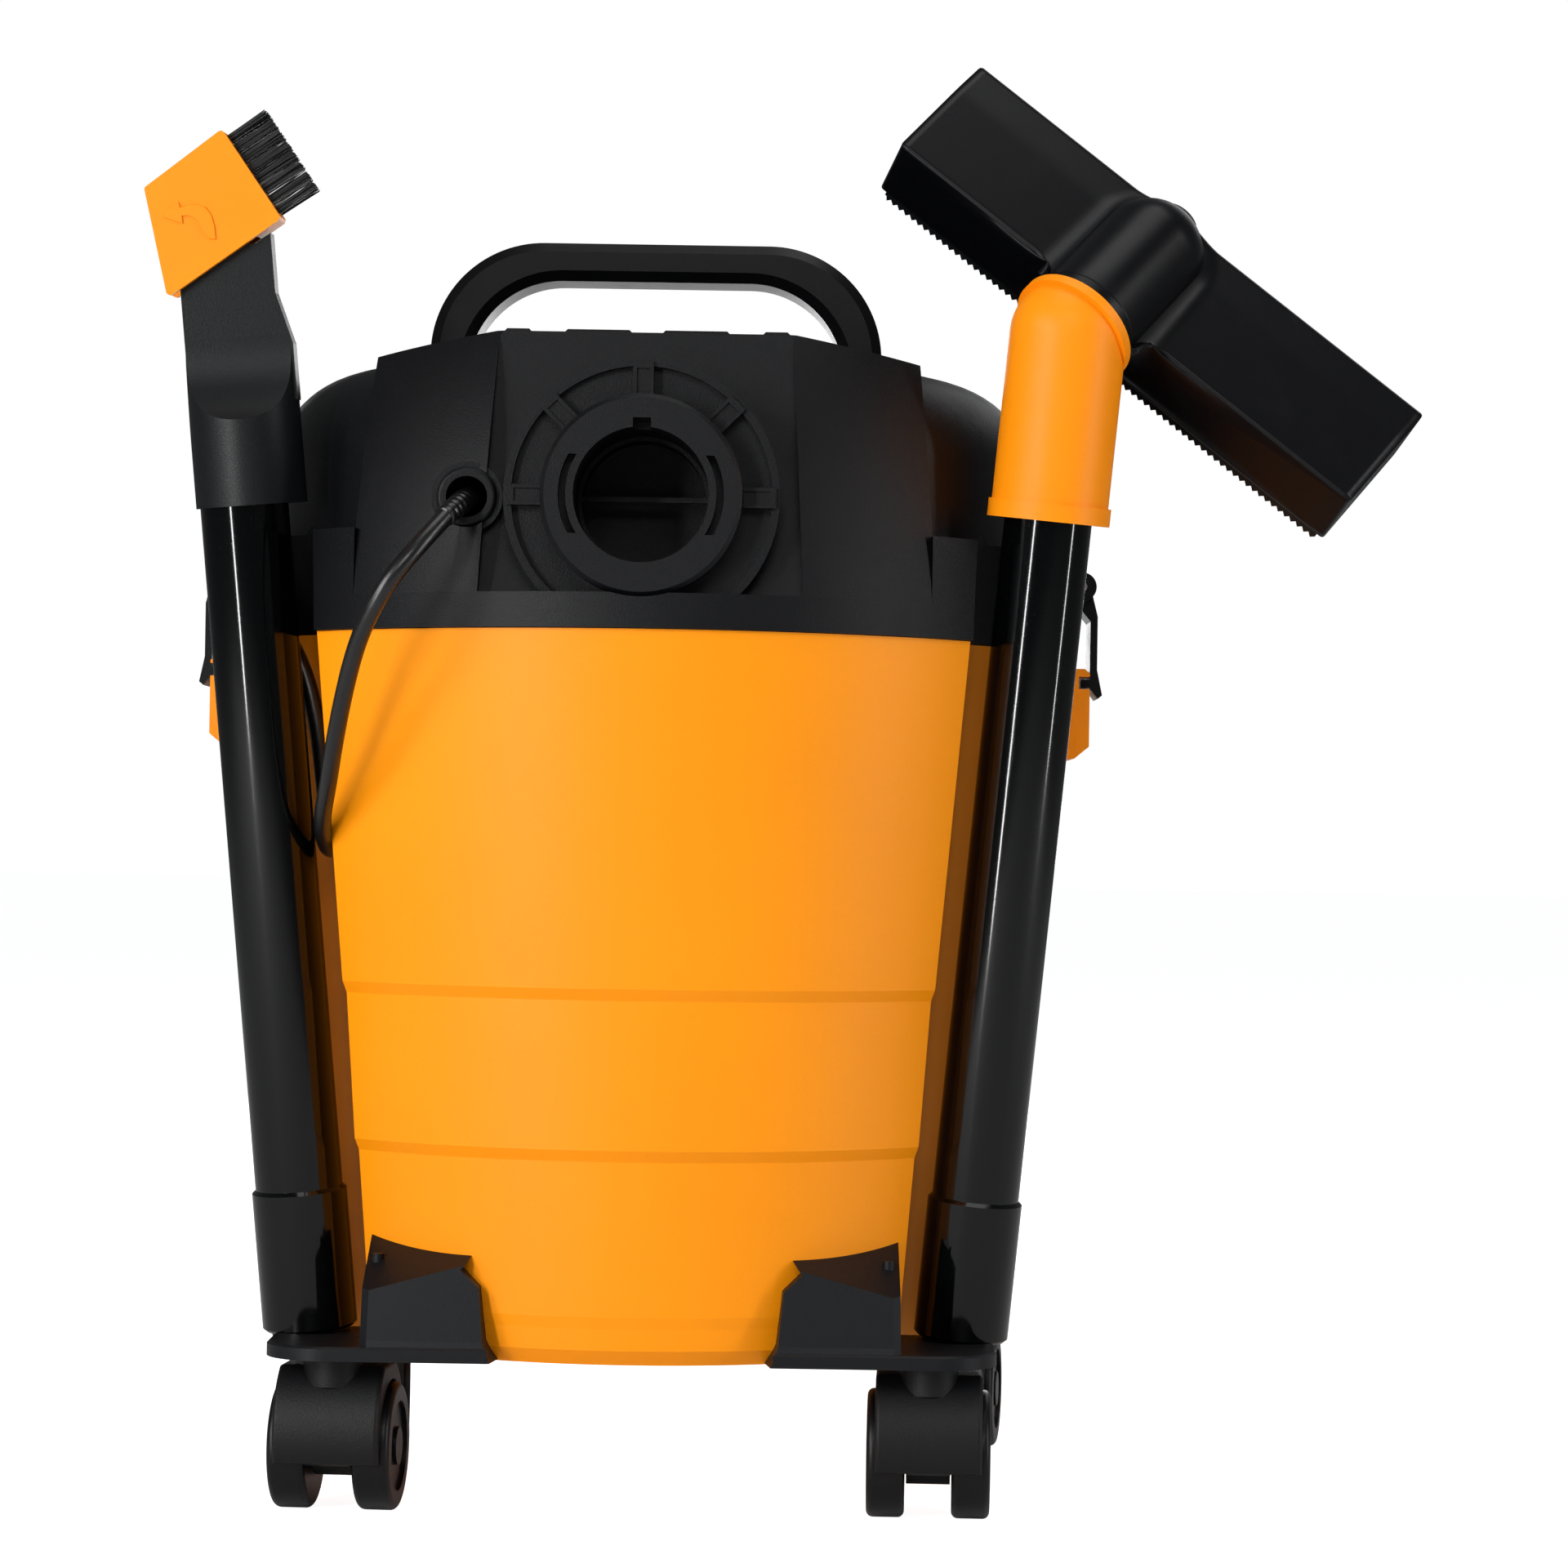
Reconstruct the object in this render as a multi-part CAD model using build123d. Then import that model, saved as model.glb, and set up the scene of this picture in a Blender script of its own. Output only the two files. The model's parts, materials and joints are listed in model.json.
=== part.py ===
from build123d import *
import os
from math import ceil, cos, pi, radians, sin, tan

# A wet and dry canister vacuum cleaner that stands on four twin-wheel casters and
# carries its two extension tubes, crevice tool, dusting brush and floor nozzle on its
# back. Millimetres. While it is modelled the drum's axis is X = Y = 0, the floor is
# Z = 0, the back with the tools faces -Y and the inlet faces +Y. At the end everything
# is moved so that the origin is the bottom centre of the machine's box.

# ---------------------------------------------------------------- driving dimensions
GAP = 0.3                 # air between faces of bodies that move apart
RUN = 0.06                # radial clearance of a running fit
SEAT = 0.25               # clearance where a round piece sits in another for good

TANK_FLOOR = 61.0         # underside of the drum above the ground
TANK_TOP = 343.3          # rim of the drum
TANK_TOP_R = 168.0
TANK_FOOT_R = 135.0
WALL = 3.0
LEDGES = ((202.0, 2.2), (140.0, 2.2), (75.5, 0.7))   # height and depth of each soft ledge
LEDGE_RISE = 4.5

SKIRT_R = 170.0
SKIRT_Z = TANK_TOP + GAP  # lower edge of the head
SHOULDER_Z = 383.0        # top of the skirt, where the dome is set back
DOME_R = 158.0
HEAD_TOP = 460.0          # flat top of the power head
CONSOLE_HALF = 112.0      # half width of the raised power head at the shoulder
CONSOLE_TOP_HALF = 107.0
CONSOLE_FLAT_HALF = 58.0
CONSOLE_EDGE_DROP = 7.5   # the top falls by this much from the flat to its side edges
CONSOLE_TOP_R = 139.0     # the round wall curves in to this radius at the top
SILL_Z = 357.0            # lower edge of the recessed panel
PANEL_Y = -151.0          # panel plane at the sill
PANEL_LEAN = 0.22
PANEL_HALF = 62.0
PANEL_TOP_HALF = 56.0

PORT_Z = 394.0            # blower port
PORT_BORE_R = 25.7
PORT_BOSS_R = 38.4
PORT_DISH_R = 52.7
PORT_FACE_Y = -169.0
PORT_DEPTH = 62.0
PORT_STOP = 42.0          # depth at which a hose end meets its stop

HANDLE_TOP = 510.5
HANDLE_HALF = 93.4
HANDLE_BEND = 46.8        # outer bend of the arch
HANDLE_BAR = 15.7
HANDLE_WIDTH = 31.0
HANDLE_EDGE = 4.0         # bevel along the bar

TUBE_X = 146.5            # tube axis at TUBE_REF_Z
TUBE_Y = -89.4
TUBE_REF_Z = 260.7
TUBE_LEAN_X = 0.0885      # outward lean, per unit of height
TUBE_LEAN_Y = 0.0798      # lean to the back, per unit of height
TUBE_R = 17.3
TUBE_WALL = 1.6
SOCKET_R = 18.8           # flared lower end of each tube
SOCKET_TOP = 124.0
CHANNEL_R = 29.0          # hollow in drum and head that each tube lies in

PLATE_Z = 61.5
PLATE_T = 5.5
WHEEL_R = 25.0
WHEEL_W = 14.9
WHEEL_IN = 9.2            # inner face of each wheel from the caster's middle
AXLE_R = 4.0
STEM_R = 5.0
STEM_TOP = 65.6
TRAIL = 14.0              # axle behind stem
HOOD_HALF = 20.8
REAR_CASTER = (116.0, -114.0)
FRONT_CASTER = (128.0, 98.0)

COLLAR_R = 21.8           # crevice tool
COLLAR_SHIFT = 3.0
COLLAR_Z = 392.6
BLADE_T = 13.0
ELBOW_R = 23.0
ELBOW_Z = 391.5

NOZZLE_LENGTH = 228.0
NOZZLE_WIDTH = 60.0
NOZZLE_HEIGHT = 30.0
NECK_R = 21.5

CORD_R = 3.5
COIL_R = 40.0             # mid-turn radius of the coiled rest of the cord
COIL_T = 28.0             # width and height of the coil's section
COIL_AT = (-60.0, 450.0)

UP = (Align.CENTER, Align.CENTER, Align.MIN)


# ---------------------------------------------------------------- helpers
def box(x0, x1, y0, y1, z0, z1):
    return Pos((x0 + x1) / 2, (y0 + y1) / 2, (z0 + z1) / 2) * Box(x1 - x0, y1 - y0, z1 - z0)


def rod(start, end, radius):
    """Round bar from one point to another."""
    start = Vector(*start)
    way = Vector(*end) - start
    return Plane(origin=start, z_dir=way) * Cylinder(radius, way.length, align=UP)


def disc(radius, z0, z1, x=0.0, y=0.0):
    return Pos(x, y, z0) * Cylinder(radius, z1 - z0, align=UP)


def turned(points):
    """Solid of revolution about the drum's axis, from (radius, height) points."""
    return revolve(Plane.XZ * make_face(Polyline(*points, close=True)), Axis.Z)


def slab(points, y0, y1):
    """Outline given as (x, z) points, thick from y0 to y1."""
    face = Plane.XZ.offset(-y0) * make_face(Polyline(*points, close=True))
    return extrude(face, amount=y0 - y1)


def tube_spot(side, z):
    rise = z - TUBE_REF_Z
    return Vector(side * (TUBE_X + rise * TUBE_LEAN_X), TUBE_Y - rise * TUBE_LEAN_Y, z)


def on_tube(side, z0, z1, radius):
    return rod(tube_spot(side, z0), tube_spot(side, z1), radius)


def channels(grow=0.0):
    return [on_tube(side, 20, 540, CHANNEL_R + grow) for side in (-1, 1)]


def band(radius, grow, thick, z0, z1):
    """Ring of the given outer radius whose wall also follows both tube channels."""
    outer = disc(radius, z0, z1) - channels(grow)
    return outer - (disc(radius - thick, z0 - 1, z1 + 1) - channels(grow + thick))


# ---------------------------------------------------------------- drum
def tank_radius(z):
    share = (z - TANK_FLOOR) / (TANK_TOP - TANK_FLOOR)
    return TANK_FOOT_R + share * (TANK_TOP_R - TANK_FOOT_R)


def tank_profile(inset, floor, top):
    points = [(0, floor), (tank_radius(floor) - inset - 5, floor), (tank_radius(floor) - inset, floor + 6)]
    for z, depth in reversed(LEDGES):
        points.append((tank_radius(z) - inset - depth / 2, z))
        points.append((tank_radius(z + LEDGE_RISE) - inset + depth / 2, z + LEDGE_RISE))
    return points + [(tank_radius(TANK_TOP) - inset, top), (0, top)]


RIM_T = 8.0               # inward thickness of the drum's rim
LUG_R = 181.0
LUG_HALF = 21.0
LUG_Z0 = 300.0
LUG_Z1 = 337.0
NOSE_Z0 = 329.5           # latch nose and the slot it sits in
NOSE_Z1 = 333.0
INLET_Z = 296.0
INLET_R = 33.0
INLET_BORE_R = 19.0


def tank_outside():
    body = turned(tank_profile(0, TANK_FLOOR, TANK_TOP))
    return body - channels()


def make_tank():
    body = tank_outside()
    for side in (-1, 1):
        outline = [(side * 140, LUG_Z1), (side * (LUG_R - 2), LUG_Z1), (side * LUG_R, LUG_Z1 - 2),
                   (side * LUG_R, LUG_Z0 + 5), (side * (LUG_R - 6), LUG_Z0), (side * 140, LUG_Z0)]
        body += slab(outline, -LUG_HALF, LUG_HALF)
        inner, outer = sorted((side * (LUG_R - 4.5), side * (LUG_R + 5)))
        body -= box(inner, outer, -LUG_HALF - 1, LUG_HALF + 1, NOSE_Z0 - 0.8, NOSE_Z1 + 0.9)
    cavity = turned(tank_profile(WALL, TANK_FLOOR + WALL, TANK_TOP + 5)) - channels(WALL)
    body -= cavity
    body += band(TANK_TOP_R, 0, RIM_T, TANK_TOP - 6, TANK_TOP) & tank_outside()
    return body - rod((0, 120, INLET_Z), (0, 190, INLET_Z), INLET_R - 6)


def make_seal():
    return band(SKIRT_R - WALL - SEAT, WALL + SEAT, 4.5, TANK_TOP, DECK_Z)


def make_inlet():
    """Flanged suction inlet that is bolted into the drum's front wall."""
    flange = rod((0, 148, INLET_Z), (0, 174, INLET_Z), INLET_R) - turned(tank_profile(0, TANK_FLOOR, TANK_TOP))
    barrel = rod((0, 132, INLET_Z), (0, 184, INLET_Z), INLET_R - 6.3)
    rim = rod((0, 180, INLET_Z), (0, 184, INLET_Z), INLET_R - 4)
    return flange + barrel + rim - rod((0, 130, INLET_Z), (0, 190, INLET_Z), INLET_BORE_R)


# ---------------------------------------------------------------- head
DECK_Z = TANK_TOP + 3.0
DECK_T = 3.0
EYE_R = 34.0
FAN_R = 70.0
FAN_TOP = 372.0
CAGE_R = 45.0
CAGE_FLOOR = 238.0
HINGE_R = 175.5           # latch hinge, from the drum's axis
HINGE_Z = 371.0
PIN_R = 2.0


def make_base():
    """Plate that closes the drum, with a spigot inside its rim and the fan's eye."""
    base = base_room(SEAT)
    base += band(TANK_TOP_R - RIM_T - 1, RIM_T + 1, WALL, TANK_TOP - 10, DECK_Z + 1)
    return base - disc(EYE_R, DECK_Z - 20, DECK_Z + 20)


def latch_ears():
    """Two ears on each side of the head that carry the latch's pin."""
    ears = []
    for side in (-1, 1):
        x = side * (HINGE_R + 2)
        inner, outer = sorted((side * (SKIRT_R - 2.2), x))
        for y in (-15.5, 15.5):
            ears.append(box(inner, outer, y - 2.5, y + 2.5, HINGE_Z - 6, HINGE_Z + 6))
            ears.append(rod((x, y - 2.5, HINGE_Z), (x, y + 2.5, HINGE_Z), 6))
    return ears


def latch_holes():
    return [rod((side * (HINGE_R + 2), -20, HINGE_Z), (side * (HINGE_R + 2), 20, HINGE_Z), PIN_R) for side in (-1, 1)]


def console_outline(inset, low):
    edge_z = HEAD_TOP - CONSOLE_EDGE_DROP
    right = [(CONSOLE_HALF - inset, low), (CONSOLE_HALF - inset, SHOULDER_Z),
             (CONSOLE_TOP_HALF - inset, edge_z - inset), (CONSOLE_FLAT_HALF - inset / 2, HEAD_TOP - inset)]
    return right + [(-x, z) for x, z in reversed(right)]


def console(inset, low):
    """Raised middle of the head: a long prism trimmed by a round wall that curves inward."""
    prism = slab(console_outline(inset, low), -SKIRT_R, SKIRT_R)
    base = SKIRT_R - inset
    top_r = CONSOLE_TOP_R - inset
    wall = Line((base, low), (base, SILL_Z))
    curve = ThreePointArc(wall @ 1, (base - 10, 413), (top_r, HEAD_TOP + 1))
    rest = Polyline(curve @ 1, (0, HEAD_TOP + 1), (0, low), wall @ 0)
    return prism & revolve(Plane.XZ * make_face(wall + curve + rest), Axis.Z)


def dome(inset, low):
    edge = Line((DOME_R - inset, low), (DOME_R - 1.5 - inset, 412))
    arc = ThreePointArc(edge @ 1, (147 - inset, 440 - inset / 2), (117, 452.5 - inset))
    top = Polyline(arc @ 1, (0, 455 - inset), (0, low), edge @ 0)
    return revolve(Plane.XZ * make_face(edge + arc + top), Axis.Z)


def panel_cut(grow):
    """Room in front of the recessed panel on the back of the head."""
    low = SILL_Z - grow
    high = HEAD_TOP + 12
    face_low = PANEL_Y + grow
    face_high = face_low + PANEL_LEAN * (high - low)
    side = make_face(Polyline((-230, low), (face_low, low), (face_high, high), (-230, high), close=True))
    wedge = extrude(Plane.YZ.offset(-90) * side, amount=180)
    half = PANEL_HALF + grow
    top_half = PANEL_TOP_HALF + grow
    return wedge & slab([(-half, low), (half, low), (top_half, high), (-top_half, high)], -230, -90)


def port_dish():
    """Low round dish behind the blower port, with five broad ribs."""
    face = PORT_FACE_Y + 10
    dish = rod((0, PANEL_Y + 24, PORT_Z), (0, face, PORT_Z), PORT_DISH_R)
    trough = rod((0, face + 3.4, PORT_Z), (0, face - 1, PORT_Z), PORT_DISH_R - 3)
    trough -= rod((0, face + 5, PORT_Z), (0, face - 2, PORT_Z), PORT_BOSS_R)
    dish -= trough
    for turn in range(0, 181, 45):
        rib = box(PORT_BOSS_R + 0.2, PORT_DISH_R - 1.5, face - 1.6, face + 5, -3.9, 3.9)
        rib -= box(PORT_BOSS_R - 3, PORT_DISH_R - 4, face - 2, face - 0.6, -2.5, 2.5)
        dish += Pos(0, 0, PORT_Z) * Rot(0, -turn, 0) * rib
    return dish & box(-60, 60, -200, -90, SILL_Z - 2, HEAD_TOP)


GROMMET_AT = (-67.0, 393.5)
GROMMET_Y = -152.5        # outer face of the grommet
GROMMET_R = 11.5
GROMMET_HOLE_R = 7.9
SWITCH_Z = 425.0
SWITCH_Y = 155.0


def make_cover():
    step = box(-CONSOLE_HALF, CONSOLE_HALF, -SKIRT_R - 1, SKIRT_R + 1, SILL_Z, SHOULDER_Z + 1)
    outside = disc(SKIRT_R, SKIRT_Z, SHOULDER_Z) - step + dome(0, SILL_Z - 1) + console(0, SILL_Z - 1)
    outside = outside - channels() - panel_cut(0)
    pads = [(-55.5, -45), (-32, -6), (6, 32), (45, 55.5)]
    for x0, x1 in pads:
        pad = box(x0, x1, -122, 122, HEAD_TOP - 1, HEAD_TOP + 1.7)
        outside += chamfer(pad.edges().group_by(Axis.Z)[-1].filter_by(Axis.Y), 1.0)
    outside = outside + port_dish() + latch_ears()
    inside = disc(SKIRT_R - WALL, SKIRT_Z - 1, SHOULDER_Z - WALL) - Pos(0, 0, -WALL) * step
    inside = inside + dome(WALL, SKIRT_Z) + console(WALL, SKIRT_Z)
    inside = inside - channels(WALL) - panel_cut(WALL)
    inside -= rod((0, -100, PORT_Z), (0, -200, PORT_Z), PORT_DISH_R) & box(-60, 60, -200, 0, SILL_Z - WALL, 500)
    gx, gz = GROMMET_AT
    boss = rod((gx, -128, gz), (gx, GROMMET_Y + 2.5, gz), GROMMET_R + 2.2)
    body = outside - inside + boss
    body -= rod((0, -90, PORT_Z), (0, -200, PORT_Z), PORT_BORE_R + 2.9 + SEAT)
    body -= rod((0, PORT_FACE_Y + 10, PORT_Z), (0, -200, PORT_Z), PORT_BOSS_R + SEAT)
    body -= rod((gx, -100, gz), (gx, -200, gz), GROMMET_R - 1.2 + SEAT)
    body -= rod((gx, GROMMET_Y + 2.5, gz), (gx, -200, gz), GROMMET_R + SEAT)
    body -= box(-14, 14, 100, 180, SWITCH_Z - 10, SWITCH_Z + 10)
    return body - base_room(0) - latch_holes()


def base_room(gap):
    """Space that the closing plate takes inside the head, less a gap all round."""
    return disc(SKIRT_R - WALL - gap, DECK_Z, DECK_Z + DECK_T) - channels(WALL + gap) - panel_cut(WALL + gap)


def make_port():
    boss = rod((0, PORT_FACE_Y + 10, PORT_Z), (0, PORT_FACE_Y, PORT_Z), PORT_BOSS_R)
    boss = chamfer(boss.edges().group_by(Axis.Y)[0], 1.6)
    duct = rod((0, PORT_FACE_Y + PORT_DEPTH, PORT_Z), (0, PORT_FACE_Y + 4, PORT_Z), PORT_BORE_R + 2.9)
    body = boss + duct
    body -= rod((0, PORT_FACE_Y + PORT_STOP, PORT_Z), (0, PORT_FACE_Y - 1, PORT_Z), PORT_BORE_R)
    body -= rod((0, PORT_FACE_Y + PORT_DEPTH - 3, PORT_Z), (0, PORT_FACE_Y + PORT_STOP - 1, PORT_Z), PORT_BORE_R - 1.5)
    notch_z = PORT_Z + PORT_BORE_R
    body -= box(-3.4, 3.4, PORT_FACE_Y - 1, PORT_FACE_Y + 12, notch_z - 2, notch_z + 3.4)
    for side in (-1, 1):
        arc = rod((0, PORT_FACE_Y + 6, PORT_Z), (0, PORT_FACE_Y - 1, PORT_Z), 31.4)
        arc -= rod((0, PORT_FACE_Y + 7, PORT_Z), (0, PORT_FACE_Y - 2, PORT_Z), 28.6)
        inner, outer = sorted((side * 24, side * 34))
        body -= arc & box(inner, outer, -200, -100, PORT_Z - 15, PORT_Z + 15)
    bar_y = PORT_FACE_Y + PORT_STOP + 4
    bar = box(-PORT_BORE_R, PORT_BORE_R, bar_y, bar_y + 3, PORT_Z + 0.6, PORT_Z + 2.6)
    return body + bar


def make_handle():
    """Carrying arch: a flat bevelled bar that sweeps down on both sides into the head."""
    foot_z = HEAD_TOP - 30

    def arch(inset):
        half = HANDLE_HALF - inset
        top = HANDLE_TOP - inset
        sheet = make_face(Polyline((-half, foot_z), (-half, top), (half, top), (half, foot_z), close=True))
        return fillet(sheet.vertices().group_by(Axis.Y)[-1], HANDLE_BEND - inset * 0.5)

    def layer(inset, width):
        sheet = arch(inset) - arch(HANDLE_BAR - inset)
        return extrude(Plane.XZ.offset(width / 2) * sheet, amount=-width)

    bar = layer(0, HANDLE_WIDTH)
    rims = bar.edges().filter_by(lambda e: abs(abs(e.center().Y) - HANDLE_WIDTH / 2) < 0.01)
    bar = chamfer(rims.filter_by(lambda e: e.center().Z > foot_z + 1), HANDLE_EDGE)
    return bar - console(0, SHOULDER_Z - 1) - dome(0, SHOULDER_Z - 1)


def make_handle_screws():
    parts = []
    for side in (-1, 1):
        x = side * (HANDLE_HALF - 9)
        z = HEAD_TOP - WALL - 12
        parts.append(disc(4.6, z, z + 3, x))
    return Part() + parts


def make_grommet():
    gx, gz = GROMMET_AT
    ring = rod((gx, GROMMET_Y + 2.5, gz), (gx, GROMMET_Y, gz), GROMMET_R)
    ring = fillet(ring.edges().group_by(Axis.Y)[0], 1.6)
    ring += rod((gx, GROMMET_Y + 16, gz), (gx, GROMMET_Y + 2.5, gz), GROMMET_R - 1.2)
    return ring - rod((gx, GROMMET_Y + 20, gz), (gx, GROMMET_Y - 1, gz), GROMMET_HOLE_R)


ROCKER_PIN_R = 1.5


def make_switch_bezel():
    ring = box(-17, 17, SWITCH_Y - 12, SWITCH_Y + 3, SWITCH_Z - 13, SWITCH_Z + 13)
    ring = fillet(ring.edges().filter_by(Axis.Y), 3)
    back = box(-30, 30, 90, 160, SWITCH_Z - 30, SWITCH_Z + 30)
    cover = (console(0, SHOULDER_Z - 1) & back)
    plug = box(-13.7, 13.7, SWITCH_Y - 22, SWITCH_Y + 1, SWITCH_Z - 9.7, SWITCH_Z + 9.7)
    body = (ring - cover) + plug
    body -= box(-11, 11, SWITCH_Y - 18, SWITCH_Y + 10, SWITCH_Z - 7.5, SWITCH_Z + 7.5)
    return body - rod((-12.3, SWITCH_Y - 3, SWITCH_Z), (12.3, SWITCH_Y - 3, SWITCH_Z), ROCKER_PIN_R + RUN)


def make_rocker():
    wedge = make_face(Polyline((SWITCH_Y - 6, SWITCH_Z - 7), (SWITCH_Y + 3.4, SWITCH_Z - 6.6), (SWITCH_Y + 1.0, SWITCH_Z),
                               (SWITCH_Y + 3.4, SWITCH_Z + 6.6), (SWITCH_Y - 6, SWITCH_Z + 7), close=True))
    cap = extrude(Plane.YZ.offset(-10.4) * wedge, amount=20.8)
    round_back = rod((-11, SWITCH_Y - 3, SWITCH_Z), (11, SWITCH_Y - 3, SWITCH_Z), 9.6)
    keep = round_back & box(-11, 11, 0, 300, SWITCH_Z - 7.1, SWITCH_Z + 7.1)
    return (cap & keep) + rod((-11.9, SWITCH_Y - 3, SWITCH_Z), (11.9, SWITCH_Y - 3, SWITCH_Z), ROCKER_PIN_R)


def make_cord_hook():
    """Small peg with a raised tip, on the head's side wall, that the cord is laid over."""
    x, y, z = HOOK_AT
    reach = rod((x + 30, y + 8, z), (x, y, z), 3.2) - band_inside()
    return reach + rod((x, y, z - 3.2), (x, y, z + 14), 2.1)


def band_inside():
    return disc(SKIRT_R, SKIRT_Z - 5, SHOULDER_Z + 5)


# ---------------------------------------------------------------- fan, motor and filter
def make_fan_housing():
    low = DECK_Z + DECK_T
    shell = disc(FAN_R, low, FAN_TOP) - disc(FAN_R - 2.5, low + 2.5, FAN_TOP - 2.5)
    return shell - disc(EYE_R, low - 1, low + 4) - disc(5.0, FAN_TOP - 4, FAN_TOP + 1)


def make_impeller():
    low = DECK_Z + DECK_T + 5
    high = FAN_TOP - 5
    wheel = disc(FAN_R - 8, high - 2, high) + disc(FAN_R - 8, low, low + 1.5)
    wheel -= disc(EYE_R - 8, low - 1, low + 1.5)
    for step in range(10):
        blade = box(EYE_R - 6, FAN_R - 8.5, -0.8, 0.8, low + 1, high - 1)
        wheel += Rot(0, 0, step * 36) * blade
    return wheel + disc(4.0, low, FAN_TOP + 18)


def make_motor():
    can = disc(42, FAN_TOP, FAN_TOP + 58) + disc(30, FAN_TOP + 58, FAN_TOP + 72)
    can = can - disc(4.0 + RUN, FAN_TOP - 1, FAN_TOP + 30)
    for step in range(8):
        slot = box(36, 44, -3, 3, FAN_TOP + 10, FAN_TOP + 44)
        can -= Rot(0, 0, step * 45 + 22.5) * slot
    return can


def make_cage():
    cage = disc(CAGE_R, CAGE_FLOOR, DECK_Z) - disc(CAGE_R - 2.5, CAGE_FLOOR + 2.5, DECK_Z + 1)
    for step in range(12):
        cage -= Rot(0, 0, step * 30) * box(CAGE_R - 8, CAGE_R + 5, -6, 6, CAGE_FLOOR + 12, DECK_Z - 16)
    return cage + (disc(CAGE_R + 13, CAGE_FLOOR, CAGE_FLOOR + 2.5) - disc(CAGE_R - 1, CAGE_FLOOR - 1, CAGE_FLOOR + 4))


def make_sleeve():
    return disc(CAGE_R + 12, CAGE_FLOOR + 3, DECK_Z - 10) - disc(CAGE_R + 0.3, CAGE_FLOOR, DECK_Z)


BALL_R = 19.0
BALL_LIFT = 48.0


def make_ball():
    return Pos(0, 0, CAGE_FLOOR + 2.5 + GAP + BALL_R) * Sphere(BALL_R)


# ---------------------------------------------------------------- latches
def make_latch(side):
    """Clip that hangs on the head and hooks its nose into the slot of the drum's lug."""
    face = LUG_R + GAP + 0.2
    outline = [(face, HINGE_Z - 14), (face, NOSE_Z1), (LUG_R - 3.2, NOSE_Z1), (LUG_R - 3.2, NOSE_Z0), (face, NOSE_Z0),
               (face + 3.4, NOSE_Z0 - 4.5), (face + 5.2, NOSE_Z0 - 3), (face + 3, NOSE_Z1 + 4), (face + 3, HINGE_Z - 12),
               (HINGE_R + 5.5, HINGE_Z + 2), (HINGE_R + 2, HINGE_Z + 5.6), (HINGE_R - 1.5, HINGE_Z + 2), (HINGE_R - 1.5, HINGE_Z - 5)]
    plate = slab([(side * x, z) for x, z in outline], -12.6, 12.6)
    x = side * (HINGE_R + 2)
    return plate - rod((x, -20, HINGE_Z), (x, 20, HINGE_Z), PIN_R + RUN)


def make_latch_pin(side):
    x = side * (HINGE_R + 2)
    return rod((x, -18.5, HINGE_Z), (x, 18.5, HINGE_Z), PIN_R)


# ---------------------------------------------------------------- feet and casters
FOOT_NEAR = 50.5          # inner end of each foot
FOOT_FAR = 142.0          # outer end of its plate
BLOCK_IN = 55.0           # inner and outer sides of its block
BLOCK_OUT = 104.5
BLOCK_RISE = 34.0         # height of the block's front edge, halfway along
BLOCK_ROLL = 13.0         # its roof rises towards the drum's middle and towards the drum
BLOCK_PITCH = 27.0


def make_foot(side, end):
    """Corner bracket: a plate over the caster and a block that hugs the drum."""
    stem_x, stem_y = (REAR_CASTER[0], -REAR_CASTER[1]) if end < 0 else FRONT_CASTER
    face = stem_y + 23
    plate = box(BLOCK_IN, FOOT_FAR, face - 75, face, PLATE_Z, PLATE_Z + PLATE_T)
    plate = fillet(plate.edges().filter_by(Axis.Z).group_by(Axis.X)[-1], 24)
    plate = chamfer(plate.edges().group_by(Axis.Z)[-1], 0.8)
    base = [(FOOT_NEAR, face - 26), (BLOCK_IN - 1, face - 0.2), (BLOCK_OUT - 3, face - 0.2),
            (BLOCK_OUT, face - 3), (BLOCK_OUT, face - 44), (FOOT_NEAR, face - 44)]
    hip = [(BLOCK_IN, face - 26), (BLOCK_IN + 2, face - 2), (BLOCK_OUT - 3, face - 2.5),
           (BLOCK_OUT - 0.3, face - 5), (BLOCK_OUT - 0.3, face - 44), (BLOCK_IN, face - 44)]
    tip = [(BLOCK_IN + 4, face - 26), (BLOCK_IN + 6, face - 9), (BLOCK_OUT - 4, face - 10),
           (BLOCK_OUT - 1, face - 13), (BLOCK_OUT - 1, face - 44), (BLOCK_IN + 4, face - 44)]
    levels = ((PLATE_Z, base), (PLATE_Z + 8, hip), (PLATE_Z + 54, tip))
    sections = [Plane.XY.offset(z) * make_face(Polyline(*points, close=True)) for z, points in levels]
    block = loft(sections[:2], ruled=True) + loft(sections[1:], ruled=True)
    block -= Pos(81, face - 9, PLATE_Z + BLOCK_RISE) * Rot(-BLOCK_PITCH, BLOCK_ROLL, 0) * box(-80, 80, -80, 80, 0, 60)
    facet = Pos(66, face - 12, PLATE_Z + BLOCK_RISE + 2) * Rot(-8, -42, 0)
    block -= facet * box(-60, 0, -60, 60, 0, 40)
    foot = plate + block + disc(2.4, PLATE_Z + 20, PLATE_Z + 39.5, 99.5, face - 25)
    if end < 0:
        foot = mirror(foot, Plane.XZ)
    if side < 0:
        foot = mirror(foot, Plane.YZ)
    x, y = side * stem_x, end * stem_y
    foot = foot - tank_outside() - disc(STEM_R + RUN, PLATE_Z - 1, STEM_TOP + GAP, x, y)
    if end < 0:
        foot -= on_tube(side, PLATE_Z + PLATE_T, 130, SOCKET_R + 0.6)
        low = PLATE_Z + PLATE_T - 2
        foot += on_tube(side, low, PLATE_Z + PLATE_T + 24, TUBE_R - TUBE_WALL - 0.45)
    return foot


FOOT_SCREWS = ((84.0, -112.0), (98.0, 106.0))   # rear and front feet


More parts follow.
